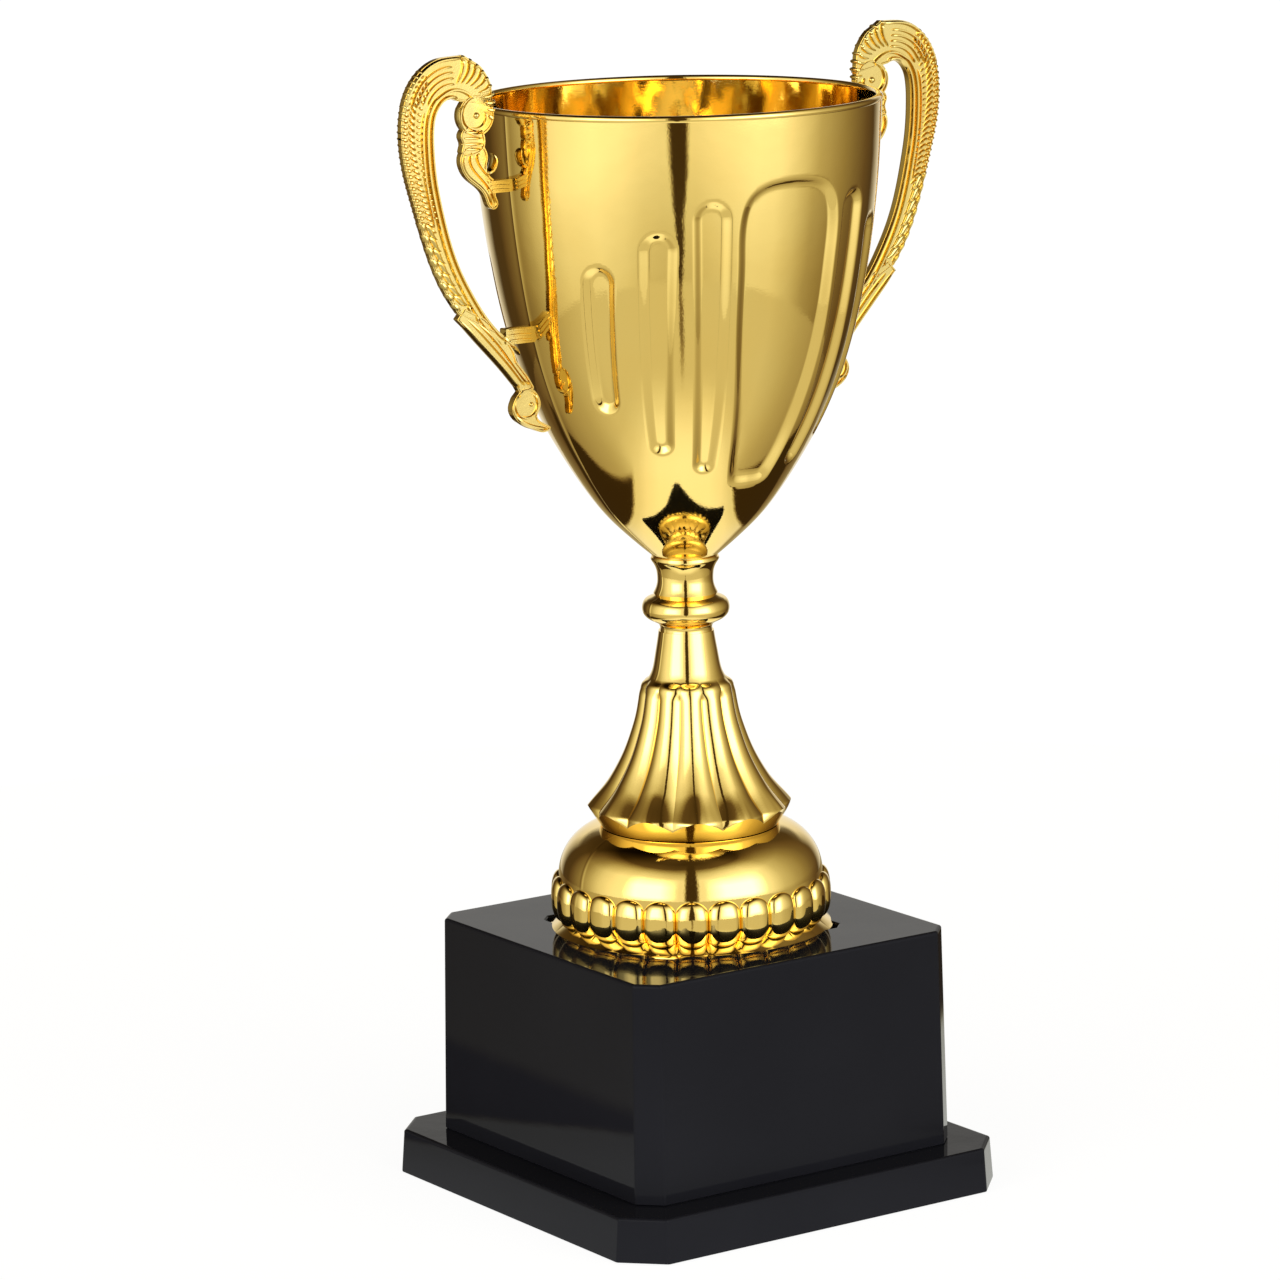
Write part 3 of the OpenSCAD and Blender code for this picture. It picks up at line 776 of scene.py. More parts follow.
def makeSpool(size):
    socketR, socketH = size["socket"]
    spigotR, spigotH = size["spigot"]
    inside = rounded([(7.1, bowlFoot, 0.2), (socketR, bowlFoot, 0.2), (socketR, bowlFoot - socketH, 0.2),
                      (rodBore, bowlFoot - socketH, 0.2), (rodBore, neckTop - spigotH, 0.2),
                      (spigotR, neckTop - spigotH, 0.3), (spigotR, neckTop, 0.2), (5.5, neckTop, 0.1)])
    outside = np.concatenate([smoothLine(size["lower"], 60), smoothLine(size["upper"], 46)])

    def seam(r, z, theta):
        shown = slice(0, len(outside))
        r[shown] += moulding(theta[shown], 0.07, 0.03)
        return r, z

    profile = np.concatenate([outside, size["lip"], inside])
    verts, faces = turned(profile, withMouldLine(160, 0.09), seam)
    return makePiece("neckSpool", verts, faces, plate, ["neck_spool"], crease=38)


makeSpool(spoolSize)

# lobed bell
bellSize = {
    "neck": [(6.0, 122.6), (6.3, 120.6), (6.75, 118), (7.2, 115.4), (7.75, 113.4), (8.3, 112.3)],
    "shoulder": [(8.75, 111.9), (9.2, 111.6), (9.6, 111.2)],
    "line": [(9.9, 110.6), (10.35, 107.5), (11.0, 104.0), (12.0, 100.6), (13.45, 96.6), (15.1, 93.2),
             (17.4, 89.4), (19.9, 85.9), (21.1, 84.3)],
    "lobes": 12,
    "bulge": (0.95, 1.65),           # at the top and at the hem
    "hem": (84.5, 82.3),             # height in the middle of a lobe and at a groove
    "foot": 80.0,
    "mouth": 19.4,                   # radius at the foot
    "cone": 0.62,                    # how much wider the plain band gets per height
    "wall": 2.4,
    "socket": (3.9, 2.9),
}


def bellLobes(size, across):
    # from the shoulder down to the scalloped hem; across is 0 in the middle of a lobe and 1 at a groove
    line = smoothLine(size["line"], 110)
    share = np.linspace(0, 1, len(line))[:, None]
    middle, groove = size["hem"]
    hemZ = middle + (groove - middle) * across ** 1.6
    top, end = line[0][1], line[-1][1]
    z = top + (line[:, 1:2] - top) * (top - hemZ[None]) / (top - end)
    low, high = size["bulge"]
    bulge = (low + (high - low) * share) * (0.5 + 0.5 * ease(share * 14))
    r = np.interp(z, line[::-1, 1], line[::-1, 0]) + bulge * (0.35 - across[None] ** 2)
    # lobes end on a plain band that runs in to the foot
    hemR = size["mouth"] + (hemZ - size["foot"]) * size["cone"]
    r += (hemR - r[-1]) * ease((share - 0.75) / 0.25)
    return list(zip(r, z))


def bellBand(size, hemZ):
    heights = [hemZ + (size["foot"] - hemZ) * q for q in (0.04, 0.35, 0.65, 0.96, 1)]
    return [(size["mouth"] + (z - size["foot"]) * size["cone"], z) for z in heights]


def bellInside(size):
    wall = size["wall"]
    line = smoothLine(size["line"], 110)
    hollow = [(max(r - wall - 0.9, rodBore + 0.15), z) for r, z in line[::-8]]
    socketR, socketH = size["socket"]
    return [(size["mouth"] - wall, size["foot"])] + hollow + [
        (rodBore, 104), (rodBore, neckTop - socketH), (socketR, neckTop - socketH), (socketR, neckTop),
        (5.8, neckTop)]


def makeBell(size):
    angles = lobeAngles(size["lobes"], 30, 0.35)
    across = np.abs(((angles * size["lobes"] / (2 * math.pi) + 0.5) % 1) * 2 - 1)
    scallop = 0.75 * (0.35 - across ** 2)
    neck = smoothLine(size["neck"], 30)
    shoulder = [(r + scallop * (i + 1) / 4, z) for i, (r, z) in enumerate(size["shoulder"])]
    lobes = bellLobes(size, across)
    rows = list(neck) + shoulder + lobes + bellBand(size, lobes[-1][1]) + bellInside(size)
    r, z = stackRows(rows, angles)
    r[:len(neck)] += moulding(angles, 0.07, 0.03)
    verts, faces = wrapRows(r, z, angles)
    return makePiece("lobedBell", verts, faces, plate, ["stem_bell"], crease=26)


makeBell(bellSize)

# domed foot with its ring of beads
domeSize = {
    "wallR": 28.8,
    "round": 10.9,                   # how far in the shoulder curves
    "shoulder": 68.6,                # where it starts and where it ends
    "crown": 79.95,
    "beads": 26,
    "proud": 1.8,
    "beadTop": (66.2, 69.0),         # beside a groove and in the middle of a bead
    "beadFoot": ((27.0, 60.1), (28.5, 59.1)),
    "flange": 31.0,
    "flangeTop": 57.35,
    "skin": 2.0,
    "ring": (17.3, 1.4),
}


def domeCrown(size):
    # the ring that centres the bell, then the curve down to the wall
    ringR, ringH = size["ring"]
    ring = [(rodBore, domeTop - size["skin"], 0.3), (rodBore, domeTop, 0.3), (ringR - 1.4, domeTop, 0.1),
            (ringR - 1.4, domeTop + ringH, 0.2), (ringR - 0.3, domeTop + ringH, 0.2),
            (ringR, size["crown"], 0.1), (ringR + 0.3, size["crown"], 0)]
    rows = list(rounded(ring)[5:])   # without the arc of the first corner
    centre, low = size["wallR"] - size["round"], size["shoulder"]
    return rows + [(centre + size["round"] * math.cos(a), low + (size["crown"] - low) * math.sin(a))
                   for a in np.radians(np.linspace(90, 0, 54))]


def domeBeads(size, across):
    # a bead bulges from the wall; across is 0 in its middle and 1 at a groove
    arch = np.sqrt(np.clip(1 - across ** 2, 0, 1))
    wallR, start = size["wallR"], size["shoulder"]
    low, high = size["beadTop"]
    topZ = low + (high - low) * arch
    (grooveR, grooveZ), (beadR, beadZ) = size["beadFoot"]
    footR, footZ = grooveR + (beadR - grooveR) * arch, grooveZ + (beadZ - grooveZ) * arch
    rows = [(wallR, start + (topZ - start) * t) for t in np.linspace(0, 1, 5)[1:-1]]
    fat = np.clip(1 - across ** 3, 0, 1) ** 0.5
    for v in (1 - np.cos(np.linspace(0, math.pi, 34))) / 2:
        bulge = (1 - abs(2 * v - 1) ** 3) ** 0.5
        wallHere = wallR + (footR - wallR) * ease((v - 0.62) / 0.38)
        rows.append((wallHere + size["proud"] * fat * bulge, topZ + (footZ - topZ) * v))
    flangeR, flangeZ = size["flange"] - 0.35, size["flangeTop"]
    return rows + [(footR + (flangeR - footR) * t, footZ + (flangeZ - footZ) * t)
                   for t in np.linspace(0, 1, 7)[1:]]


def domeInside(size):
    flangeR, flangeZ, wallR = size["flange"], size["flangeTop"], size["wallR"]
    edge = [(flangeR - 0.1, flangeZ - 0.12), (flangeR, flangeZ - 0.35), (flangeR, seatHeight + 0.2),
            (flangeR - 0.2, seatHeight), (wallR - 1.6, seatHeight), (wallR - 2, seatHeight + 0.3)]
    corner, low = size["round"] - 2, size["shoulder"]
    centre = wallR - size["skin"] - corner
    return edge + [(centre + corner * math.cos(a), low + (domeTop - size["skin"] - low) * math.sin(a))
                   for a in np.radians(np.linspace(0, 90, 10))]


def makeDome(size):
    angles = lobeAngles(size["beads"], 26, 0.5, 0.5)
    across = np.abs(((angles * size["beads"] / (2 * math.pi)) % 1) * 2 - 1)
    crown = domeCrown(size)
    r, z = stackRows(crown + domeBeads(size, across) + domeInside(size), angles)
    seamed = slice(10, len(crown) + 44)
    r[seamed] += moulding(angles, 0.07, 0.012)
    verts, faces = wrapRows(np.minimum(r, size["flange"]), z, angles)
    return makePiece("beadedDome", verts, faces, plate, ["foot_dome"], crease=34)


makeDome(domeSize)

# black base
baseEdge = {
    "edge": 0.55,                    # rounding of the top edges
    "corner": 0.8,                   # rounding of the eight upright corners
    "steps": 5,
    "wall": 2.4,
}


def cutSquare(half, cut):
    # square with cut corners, its eight corners eased; starts in the middle of the -Y side
    h, c, soft = half, half - cut, baseEdge["corner"]
    corners = [(c, -h, soft), (h, -c, soft), (h, c, soft), (c, h, soft),
               (-c, h, soft), (-h, c, soft), (-h, -c, soft), (-c, -h, soft)]
    return rounded(corners, baseEdge["steps"])


def loft(rings):
    verts = np.concatenate([np.column_stack([ring, np.full(len(ring), z)]) for ring, z in rings])
    return verts, gridFaces(len(rings), len(rings[0][0]))


def matchedCircle(ring, radius):
    turn = np.arctan2(ring[:, 1], ring[:, 0])
    return np.column_stack([radius * np.cos(turn), radius * np.sin(turn)])


def edgeRings(half, cut, z):
    # an eased top edge, with a close ring on either side to hold the flats flat
    edge = baseEdge["edge"]
    rings = [(cutSquare(half, cut), z - edge - 0.25)]
    for a in np.radians((0, 30, 60, 90)):
        inset = edge * (1 - math.cos(a))
        rings.append((cutSquare(half - inset, cut - inset * 0.4), z - edge + edge * math.sin(a)))
    return rings + [(cutSquare(half - edge - 0.25, cut - 0.3), z)]


def makeBase(name, rings, node):
    verts, faces = loft(rings)
    piece = makePiece(name, verts, faces, black, [node], crease=40)
    piece.modifiers.new("weighted", "WEIGHTED_NORMAL").keep_sharp = True
    return piece


blockSize = {
    "half": (41.5, 40.7),            # at the foot and at the top
    "cut": (4.48, 4.2),
    "recess": 32.2,
}


def makeBlock(size):
    low, high = size["half"]
    cutLow, cutHigh = size["cut"]
    inner = low - baseEdge["wall"] - 0.75
    roof = seatHeight - baseEdge["wall"]
    rings = [(cutSquare(low - 0.3, cutLow), plinthTop), (cutSquare(low, cutLow), plinthTop + 0.3),
             (cutSquare(low, cutLow), plinthTop + 0.6)]
    rings += edgeRings(high, cutHigh, blockTop)
    top, seat = rings[-1][0], size["recess"]
    for r, z in ((seat + 0.5, blockTop), (seat + 0.2, blockTop - 0.08), (seat, blockTop - 0.3),
                 (seat, seatHeight + 0.25), (seat - 0.25, seatHeight), (rodBore + 0.3, seatHeight),
                 (rodBore, seatHeight - 0.3), (rodBore, roof), (3.4, roof)):
        rings.append((matchedCircle(top, r), z))
    rings += [(cutSquare(inner - 0.6, cutHigh), roof), (cutSquare(inner, cutHigh), roof - 0.6),
              (cutSquare(inner, cutLow), plinthTop)]
    return makeBase("baseBlock", rings, "base_block")


plinthSize = {
    "half": (50.0, 49.3),
    "cut": (7.87, 7.3),
    "reach": 14,                     # radius of the hole that the nut is reached through
    "lip": (37.95, 36.35, 2.0),      # ridge inside the block: outer half, inner half, height
}


def makePlinth(size):
    low, high = size["half"]
    cutLow, cutHigh = size["cut"]
    inner = high - baseEdge["wall"] - 0.1
    roof = plinthTop - baseEdge["wall"]
    lipOut, lipIn, lipH = size["lip"]
    cut = blockSize["cut"][0]
    rings = [(cutSquare(low - 0.35, cutLow), 0), (cutSquare(low - 0.05, cutLow), 0.15),
             (cutSquare(low, cutLow), 0.5)]
    rings += edgeRings(high, cutHigh, plinthTop)
    rings += [(cutSquare(lipOut, cut), plinthTop), (cutSquare(lipOut, cut), plinthTop + lipH - 0.4),
              (cutSquare(lipOut - 0.4, cut), plinthTop + lipH), (cutSquare(lipIn, cut), plinthTop + lipH),
              (cutSquare(lipIn, cut), plinthTop)]
    top, reach = rings[-1][0], size["reach"]
    rings += [(matchedCircle(top, reach + 0.3), plinthTop), (matchedCircle(top, reach), plinthTop - 0.3),
              (matchedCircle(top, reach), roof), (cutSquare(inner - 0.6, cutHigh), roof),
              (cutSquare(inner, cutHigh), roof - 0.6), (cutSquare(inner, cutLow), 0)]
    return makeBase("basePlinth", rings, "base_plinth")


makeBlock(blockSize)
makePlinth(plinthSize)
print("base ready")


# fasteners
rodSize = {"radius": 2.5, "pitch": 0.8, "depth": 0.38, "lead": 0.9}


def makeRod(size):
    low, high = (corner.z for corner in nodeBox("tie_rod"))
    pitch = size["pitch"]
    heights = np.arange(low, high, pitch / 8)
    profile = np.concatenate([[(0.02, low)], [(size["radius"], z) for z in heights], [(0.02, high)]])

    def thread(r, z, theta):
        body = slice(1, -1)
        wave = np.abs(((z[body] / pitch - theta[body] / (2 * math.pi)) % 1) * 2 - 1)
        ends = ease(np.minimum(z[body] - low, high - z[body]) / size["lead"])
        r[body] = (size["radius"] - size["depth"] * wave) * (0.86 + 0.14 * ends)
        return r, z

    verts, faces = turned(profile, evenAngles(28), thread)
    return makePiece("tieRod", verts, faces, zinc, ["tie_rod"], crease=50)


nutSize = {"flat": 4.0, "face": 3.7, "chamfer": 0.35, "bore": 2.5}


def makeNut(name, node, size):
    low, high = nodeBox(node)
    face, chamfer, bore = size["face"], size["chamfer"], size["bore"]
    rows = [(face, low.z), (5, low.z), (9, low.z), (9, high.z), (5, high.z), (face, high.z),
            (bore + 0.25, high.z), (bore, high.z - 0.3), (bore, low.z + 0.3), (bore + 0.25, low.z)]

    def hexed(r, z, theta):
        sector = math.pi / 3
        hexR = size["flat"] / np.cos((theta[0] + sector / 2) % sector - sector / 2)
        r[:6] = np.minimum(r[:6], hexR)
        r[1] = r[4] = np.minimum(hexR, 4.5)
        z[1] = low.z + chamfer * (hexR - face) / 0.9
        z[2] = z[1] + 0.05
        z[4] = high.z - chamfer * (hexR - face) / 0.9
        z[3] = z[4] - 0.05
        return r, z

    verts, faces = turned(rows, evenAngles(96), hexed)
    return makePiece(name, verts, faces, zinc, [node], crease=28)


def makeWasher(name, node):
    low, high = nodeBox(node)
    profile = rounded([(rodBore, low.z, 0.12), (high.x, low.z, 0.2), (high.x, high.z, 0.2),
                       (rodBore, high.z, 0.12)])
    verts, faces = turned(profile, evenAngles(72))
    return makePiece(name, verts, faces, zinc, [node])


screwSize = {
    "headR": 3.0,
    "headH": 1.8,
    "shankR": 1.3,
    "pitch": 1.1,
    "depth": 0.28,
    "slot": (1.65, 0.32, 0.9),       # half length, half width and depth of the cross
}


def makeScrews(size):
    low, high = nodeBox("plinth_screws")
    headR, headH, shankR = size["headR"], size["headH"], size["shankR"]
    length, out = high.z - low.z, (high.x - low.x) / 2 - headR
    face = [(0.03, 0)] + [(r, 0.12 * (r / headR) ** 2) for r in np.linspace(0.15, headR - 0.35, 16)]
    rim = [(headR - 0.1, 0.3), (headR, 0.6), (headR, headH - 0.1), (headR - 0.1, headH), (shankR, headH)]
    shank = [(shankR, z) for z in np.arange(headH + 0.1, length - 0.8, 0.1)]
    profile = np.array(face + rim + shank + [(0.3, length - 0.05), (0.03, length)]) + (0, low.z)
    slotLong, slotWide, slotDeep = size["slot"]

    def driven(r, z, theta):
        head = slice(0, len(face))
        x, y = np.abs(r[head] * np.sin(theta[head])), np.abs(r[head] * np.cos(theta[head]))
        past = np.maximum(np.minimum(x, y) - slotWide, np.maximum(x, y) - slotLong)
        z[head] += slotDeep * ease(-past / 0.22)
        turns = slice(len(face) + len(rim), len(profile) - 2)
        wave = np.abs(((z[turns] / size["pitch"] - theta[turns] / (2 * math.pi)) % 1) * 2 - 1)
        r[turns] -= size["depth"] * wave
        return r, z

    verts, faces = turned(profile, evenAngles(48), driven)
    corners = [(x, y) for x in (-out, out) for y in (-out, out)]
    allVerts = np.concatenate([verts + np.array((x, y, 0)) for x, y in corners])
    allFaces = [[i + k * len(verts) for i in quad] for k in range(len(corners)) for quad in faces]
    return makePiece("plinthScrews", allVerts, allFaces, zinc, ["plinth_screws"], crease=40)


makeRod(rodSize)
makeNut("bowlNut", "bowl_nut", nutSize)
makeNut("baseNut", "base_nut", nutSize)
makeWasher("bowlWasher", "bowl_washer")
makeWasher("baseWasher", "base_washer")
makeScrews(screwSize)
print("fasteners ready")

# handles
# outlines are (out from the bowl, up), from the place where the upper bar meets the bowl
handleLow, handleHigh = nodeBox("handle_right")
handleOut = handleHigh.x - 27.0
handleUp = handleHigh.z - 27.9
handleSize = {
    "plateHalf": 0.7,                # half thickness of the flat web
    "edgeHalf": 1.05,                # half thickness of its rounded edge
    "proudHalf": 1.55,               # half thickness over the ornament
    "outer": [(11.3, 27.9), (14, 27.8), (17, 27.6), (20, 26.6), (22.4, 24.9), (24.8, 21.9), (26.3, 18.2),
              (27, 13.6), (26.8, 8.4), (26, 3.8), (24.6, -1.3), (22.3, -9), (19.8, -16), (16.9, -21.8),
              (14.2, -25.7)],
    "inner": [(13.1, 18.5), (14.2, 18.95), (15.8, 18.8), (17.2, 17.8), (18.4, 16), (19, 13.4), (19.1, 9),
              (18.6, 2.8), (17.5, -3), (15.9, -9.4), (13.7, -15.6), (10.3, -22.1), (6.4, -27.9), (2.2, -32.4)],
    "crest": [(11.3, 27.9), (9.4, 26.7), (7.4, 25.5), (6.0, 23.8), (4.9, 21.8), (4.5, 19.4), (4.4, 16.8)],
    "crown": (14.5, 15.8),           # centre of the arcs and of the shell's fingers
    "crownArcs": (6.3, 7.5, 8.7, 9.9),
    "fingers": 10,
    "volute": (8.6, 15.2),
    "voluteR": 4.35,
    # closed outlines below the volute: knot and leaf
    "knot": [(7.2, 12.2), (12, 12.4), (12.6, 10.9), (12.1, 9.4), (12.5, 7.9), (7.4, 7.8), (6.6, 9.8),
             (7.2, 12.2)],
    "leaf": [(7, 8.9), (11.3, 8.7), (12.7, 6.9), (12.5, 4.4), (11, 2.1), (8.7, 0.3), (6.9, -1.9), (5.9, -4.1),
             (4.4, -4.6), (3.7, -3.7), (4.3, -1.6), (4.1, 0.9), (5.6, 2.4), (6.4, 4.2), (6, 6.4), (7, 8.9)],
    "knotBands": [(11.8, 2.5), (10.6, 2.9), (9.4, 2.9), (8.3, 2.6)],     # height, half length
    "veins": [
        [(11.6, 8.0), (12.1, 6.3), (11.8, 4.5), (10.4, 2.6), (8.3, 0.9), (6.4, -1.2), (5.2, -4.0)],
        [(10.0, 7.9), (10.4, 6.2), (9.9, 4.6), (8.6, 3), (6.9, 1.2), (5.5, -0.8), (4.5, -3.6)],
        [(8.3, 7.7), (8.6, 6.4), (8.2, 5.2), (7.2, 3.8), (5.9, 2.2)],
    ],
    "horn": [(6.6, 3.0), (5.2, 3.4), (4.3, 4.6), (4.2, 6.0), (4.8, 7.1)],
    # blade with its corner radii, its ridges, and the scroll at the foot
    "blade": [(14.6, -26.9, 0.2), (11.4, -30, 9), (7.6, -33.9, 9), (3.4, -38.4, 9), (0.4, -42.2, 9),
              (-0.8, -44.2, 0.4), (-4.3, -43.2, 0.4), (-2.6, -40.4, 5), (0.1, -37, 0.8), (0.6, -35, 0.8),
              (2.6, -31.8, 5), (8, -27, 5), (12.6, -24.6, 0.4)],
    "bladeRidges": [
        [(14.2, -26.8), (11.1, -30), (7.1, -34.2), (3.1, -38.5), (-0.7, -43.1)],
        [(12.2, -26.9), (9, -30), (5.2, -34), (1.5, -38.2), (-1.9, -42.6)],
        [(9.6, -28.0), (6.2, -31.2), (3.1, -34.8), (0.3, -38.6), (-3.1, -42.6)],
    ],
    "barb": [(3.6, -31.2), (1.7, -33), (0.1, -34.4), (-0.9, -35.9)],
    "foot": [(-0.9, -43.2), (0.7, -45), (1.5, -47.3), (0.6, -49.3), (-1.4, -50.8), (-4.1, -52.1), (-7, -52.7),
             (-8.1, -52.1), (-6.9, -51.1), (-4.7, -49), (-5.5, -47.4), (-5.2, -45), (-3.4, -43.2),
             (-0.9, -43.2)],
    "toe": [(1.0, -48.3), (-1.2, -50.2), (-4.2, -51.5), (-7.6, -52.2)],
    "bars": [(-1.2, 1.45, 6.2), (-33.3, -29.95, 2.8)],       # foot, top and outer end of the bars to the bowl
    "barHalf": 1.2,
    "tenonHalf": 1.08,
}


def taper(t, share):
    # a rounded end that grows to full size over a share of the length
    if share <= 0:
        return np.ones_like(t)
    return np.sqrt(np.clip(1 - (1 - np.minimum(t / share, 1)) ** 2, 0.0004, 1))


def spreadOver(t, values):
    # one value, or several spaced evenly along the length
    values = np.atleast_1d(values)
    return np.interp(t, np.linspace(0, 1, len(values)), values)


class Relief:
    # gathers closed swept shapes, drawn as (out, up) lines, into one mesh
    def __init__(self):
        self.verts, self.faces = [], []

    def add(self, verts, faces):
        start = len(self.verts)
        self.verts += [tuple(v) for v in verts]
        self.faces += [[i + start for i in face] for face in faces]

    def ridge(self, line, width, depth, head=0.15, tail=0.15, sides=10):
        # width and depth are half sizes; both ends are eased over head and tail shares
        line = np.asarray(line, float)
        t = np.linspace(0, 1, len(line))
        size = np.minimum(taper(t, head), taper(1 - t, tail))
        run = np.gradient(line, axis=0)
        run /= np.linalg.norm(run, axis=1)[:, None] + 1e-9
        across = np.stack([-run[:, 1], run[:, 0]], 1)
        wide = spreadOver(t, width) * size
        deep = spreadOver(t, depth) * (0.35 + 0.65 * size)
        verts = []
        for i, centre in enumerate(line):
            for a in np.arange(sides) * 2 * math.pi / sides:
                out, up = centre + across[i] * wide[i] * math.cos(a)
                verts.append((out, deep[i] * math.sin(a), up))
        last = (len(line) - 1) * sides
        ends = [list(range(sides))[::-1], [last + k for k in range(sides)]]
        self.add(verts, gridFaces(len(line), sides, closeRows=False) + ends)

    def blob(self, at, angle, length, width, depth):
        reach = np.array((math.cos(angle), math.sin(angle))) * length / 2
        self.ridge([np.array(at) + reach * s for s in np.linspace(-1, 1, 9)], width, depth, 0.5, 0.5)


def arcLine(centre, radius, start, end, count=20):
    angles = np.radians(np.linspace(start, end, count))
    radii = spreadOver(np.linspace(0, 1, count), radius)
    return np.stack([centre[0] + radii * np.cos(angles), centre[1] + radii * np.sin(angles)], 1)


def webPlate(outline, half):
    # flat web cut from a closed outline
    curve = bpy.data.curves.new("web", "CURVE")
    curve.dimensions = "2D"
    curve.fill_mode = "BOTH"
    curve.extrude = half
    spline = curve.splines.new("POLY")
    spline.points.add(len(outline) - 1)
    for point, (x, y) in zip(spline.points, outline):
        point.co = (x, y, 0, 1)
    spline.use_cyclic_u = True
    holder = bpy.data.objects.new("web", curve)
    bpy.context.scene.collection.objects.link(holder)
    bpy.context.view_layer.update()
    mesh = bpy.data.meshes.new_from_object(holder.evaluated_get(bpy.context.evaluated_depsgraph_get()))
    verts = [(v.co.x, v.co.z, v.co.y) for v in mesh.vertices]
    faces = [list(p.vertices) for p in mesh.polygons]
    bpy.data.objects.remove(holder)
    bpy.data.curves.remove(curve)
    bpy.data.meshes.remove(mesh)
    return verts, faces


def offsetLine(line, distance):
    # to the left of the way the line runs
    run = np.gradient(line, axis=0)
    run /= np.linalg.norm(run, axis=1)[:, None]
    return line + np.stack([-run[:, 1], run[:, 0]], 1) * distance


def alongLine(line, start, end, pitch):
    # (point, direction) every pitch along a line, between two lengths from its start
    length = np.concatenate([[0], np.cumsum(np.linalg.norm(np.diff(line, axis=0), axis=1))])
    spots = []
    at = start
    while at < min(end, length[-1]):
        p = np.array([np.interp(at, length, line[:, k]) for k in (0, 1)])
        q = np.array([np.interp(at + 0.2, length, line[:, k]) for k in (0, 1)])
        spots.append((p, math.atan2(*(q - p)[::-1])))
        at += pitch
    return spots


def web(relief, size, outline, thicker=0.0, edge=0.32):
    # a flat web with a rounded edge all the way round; overlapping webs differ in thickness
    relief.add(*webPlate(outline, size["plateHalf"] + thicker))
    closed = np.concatenate([outline, outline[:2]])
    inside = offsetLine(closed, edge if turnsLeft(outline) else -edge)
    relief.ridge(inside, edge, size["edgeHalf"] + thicker, 0, 0)


def turnsLeft(outline):
    x, y = np.asarray(outline).T
    return np.sum(x * np.roll(y, -1) - y * np.roll(x, -1)) > 0


def handleWebs(relief, size):
    outer, inner = smoothLine(size["outer"], 70), smoothLine(size["inner"], 70)
    crest = smoothLine(size["crest"], 18)
    web(relief, size, np.concatenate([outer, inner[::-1], crest[::-1][:-1]]))
    web(relief, size, arcLine(size["volute"], size["voluteR"], 0, 350, 40), 0.12)
    web(relief, size, smoothLine(size["knot"], 34)[:-1], 0.2)
    web(relief, size, smoothLine(size["leaf"], 60)[:-1], 0.08)
    web(relief, size, rounded(size["blade"], 3), 0.12)
    web(relief, size, smoothLine(size["foot"], 50)[:-1], 0.22)


def handleRails(relief, size):
    # rails follow the window, go over its top and roll into the volute
    proud = size["proudHalf"]
    inner = smoothLine(size["inner"], 90)
    relief.ridge(offsetLine(inner, 0.5), 0.5, (proud, proud * 0.9), 0.02, 0.03)
    second = offsetLine(inner, 1.75)[7:]
    x, y = size["volute"]
    roll = arcLine((x, y), (3.75, 3.3, 2.6, 2.1), 80, -200, 40)
    over = smoothLine([tuple(second[0]), (13.9, 20.9), (11.2, 20.2), tuple(roll[0])], 14)[::-1]
    whole = np.concatenate([roll[::-1], over[1:-1], second])
    relief.ridge(whole, (0.4, 0.46, 0.5, 0.5, 0.45), proud, 0.03, 0.03)
    third = offsetLine(inner, 2.85)[10:46]
    relief.ridge(third, 0.3, proud * 0.85, 0.1, 0.2)
    relief.ridge(arcLine((x, y), 4.0, 40, -120, 30), 0.4, proud * 0.9, 0.1, 0.1)
    relief.blob((x, y), 0, 1.7, 0.85, proud)


def handleCrown(relief, size):
    proud = size["proudHalf"]
    x, y = size["crown"]
    for k, radius in enumerate(size["crownArcs"]):
        arc = arcLine((x, y), radius, 20 - 3 * k, 98 - k * 1.5, 24)
        relief.ridge(arc, 0.36, proud * (0.9 + 0.02 * k), 0.15, 0.1)
    rim = offsetLine(smoothLine(size["outer"], 60), -0.5)[:20]
    relief.ridge(rim, 0.48, proud, 0.1, 0.1)
    for t in np.linspace(0, 1, size["fingers"]):
        a = math.radians(101 + 84 * t)
        far = 11.9 - 2.2 * t
        near = 6.2 + 2.6 * t
        bend = 0.5 * (1 - t)
        line = []
        for s in np.linspace(0, 1, 12):
            radius = near + (far - near) * s
            turn = a + 0.16 * bend * math.sin(math.pi * s) + 0.05 * s
            line.append((x + radius * math.cos(turn), y + radius * math.sin(turn)))
        relief.ridge(line, (0.26, 0.42, 0.56), (proud * 0.85, proud), 0.3, 0.14)
        relief.blob(line[-1], a, 1.3, 0.56, proud)


def handleScales(relief, size):
    proud = size["proudHalf"]
    outer = smoothLine(size["outer"], 180)
    for p, a in alongLine(offsetLine(outer, -0.75), 11, 43.5, 1.3):
        relief.blob(p, a - 1.15, 1.9, 0.56, proud)
    for p, a in alongLine(offsetLine(outer, -2.5), 10, 43, 1.3):
        relief.blob(p, a - 0.75, 2.5, 0.42, proud * 0.95)
    for p, a in alongLine(offsetLine(outer, -4.15), 10, 38, 1.3):
        relief.blob(p, a - 1.1, 1.3, 0.34, proud * 0.85)
    # twisted leaves down the lower stem
    for p, a in alongLine(offsetLine(outer, -2.0), 43.5, 63, 2.75):
        line = [p + 2.7 * s * np.array((math.cos(a - 0.5), math.sin(a - 0.5)))
                + 0.35 * math.sin(math.pi * s) * np.array((-math.sin(a), math.cos(a)))
                for s in np.linspace(-1, 1, 14)]
        relief.ridge(line, (0.5, 0.85, 0.8, 0.3), (proud, proud * 0.85), 0.3, 0.5)
    for p, a in alongLine(offsetLine(outer, -0.5), 44.5, 64, 2.75):
        relief.blob(p, a - 0.12, 2.9, 0.62, proud * 0.92)


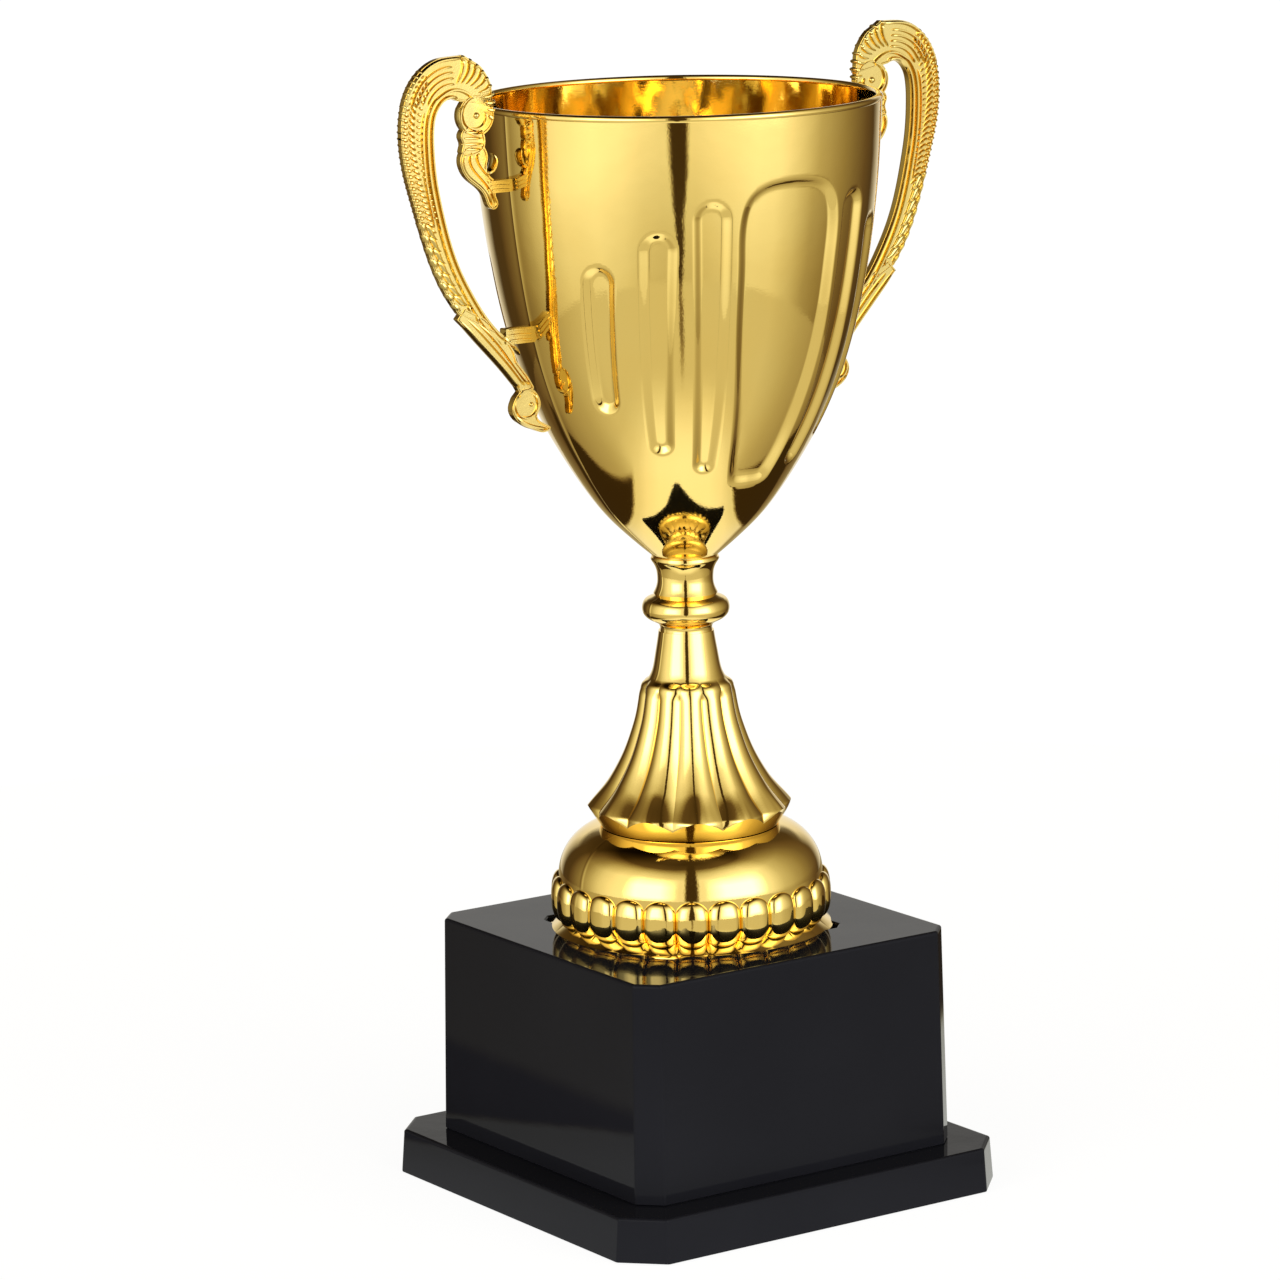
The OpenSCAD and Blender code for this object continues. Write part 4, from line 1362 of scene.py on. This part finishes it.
def handleLower(relief, size):
    # short upright strokes beside the rails, then the ridged blade and the foot scroll
    proud = size["proudHalf"]
    for k in range(5):
        p = np.array((11.6 - 1.9 * k, -24.9 - 2.2 * k))
        relief.blob(p, math.radians(78), 2.2, 0.36, proud * 0.9)
    for points in size["bladeRidges"]:
        relief.ridge(smoothLine(points, 24), (0.3, 0.5, 0.5, 0.4), proud, 0.2, 0.06)
    relief.ridge(smoothLine(size["barb"], 12), (0.7, 0.6, 0.2), proud, 0.2, 0.5)
    relief.ridge(arcLine((-2.1, -46.5), 2.75, 60, -235, 34), 0.42, proud, 0.05, 0.05)
    relief.ridge(smoothLine(size["toe"], 18), (0.5, 0.6, 0.45), proud, 0.2, 0.2)
    relief.blob((-3.3, -46.5), 0, 1.3, 0.65, proud)


def handleLeaf(relief, size):
    # bands round the knot, veins of the leaf, and the horn over the upper bar
    proud = size["proudHalf"]
    for up, halfLength in size["knotBands"]:
        relief.blob((9.6, up), 0.05, halfLength * 2, 0.42, proud)
    for points in size["veins"]:
        relief.ridge(smoothLine(points, 30), (0.45, 0.5, 0.4), proud, 0.15, 0.2)
    relief.ridge(smoothLine(size["horn"], 18), (0.65, 0.6, 0.3), proud, 0.15, 0.4)


def wallAt(up):
    # how far out the bowl's wall is, in the handle's own measure
    radius = np.interp(up + handleUp, [z for _, z in bowlSize["line"]], [r for r, _ in bowlSize["line"]])
    return radius - handleOut


def handleBars(relief, size, strokes=3):
    for low, high, out in size["bars"]:
        start = wallAt(high) + 0.05
        bar = rounded([(start, low, 0.1), (out, low, 0.3), (out, high, 0.3), (start, high, 0.1)], 3)
        relief.add(*webPlate(bar, size["barHalf"]))
        for k in range(strokes):
            up = low + (high - low) * (k + 0.5) / strokes
            line = [(start + 0.35 + (out - start - 0.35) * s, up + 0.25 * math.sin(2.5 * s))
                    for s in np.linspace(0, 1, 12)]
            relief.ridge(line, (high - low) / strokes * 0.42, size["proudHalf"], 0.06, 0.06)
        # the tenon goes through the slot in the wall
        tip = max(wallAt((low + high) / 2) - bowlSize["wall"] - 1.2, handleLow.x - handleOut)
        tenon = rounded([(tip, low + 0.4, 0.2), (start + 0.5, low + 0.4, 0), (start + 0.5, high - 0.4, 0),
                         (tip, high - 0.4, 0.2)], 3)
        relief.add(*webPlate(tenon, size["tenonHalf"]))


def makeHandle(name, node, side):
    relief = Relief()
    for part in (handleWebs, handleRails, handleCrown, handleScales, handleLower, handleLeaf, handleBars):
        part(relief, handleSize)
    verts = np.array(relief.verts)
    # kept within the node's own box
    verts[:, 0] = np.minimum(verts[:, 0] + handleOut, handleHigh.x)
    verts[:, 2] = np.minimum(verts[:, 2] + handleUp, handleHigh.z)
    verts[:, 0] *= side
    verts[:, 1] = np.clip(verts[:, 1], handleLow.y, handleHigh.y) * side
    return makePiece(name, verts, relief.faces, handlePlate, [node], crease=55)


makeHandle("scrollHandleRight", "handle_right", 1)
makeHandle("scrollHandleLeft", "handle_left", -1)
print("handles ready")
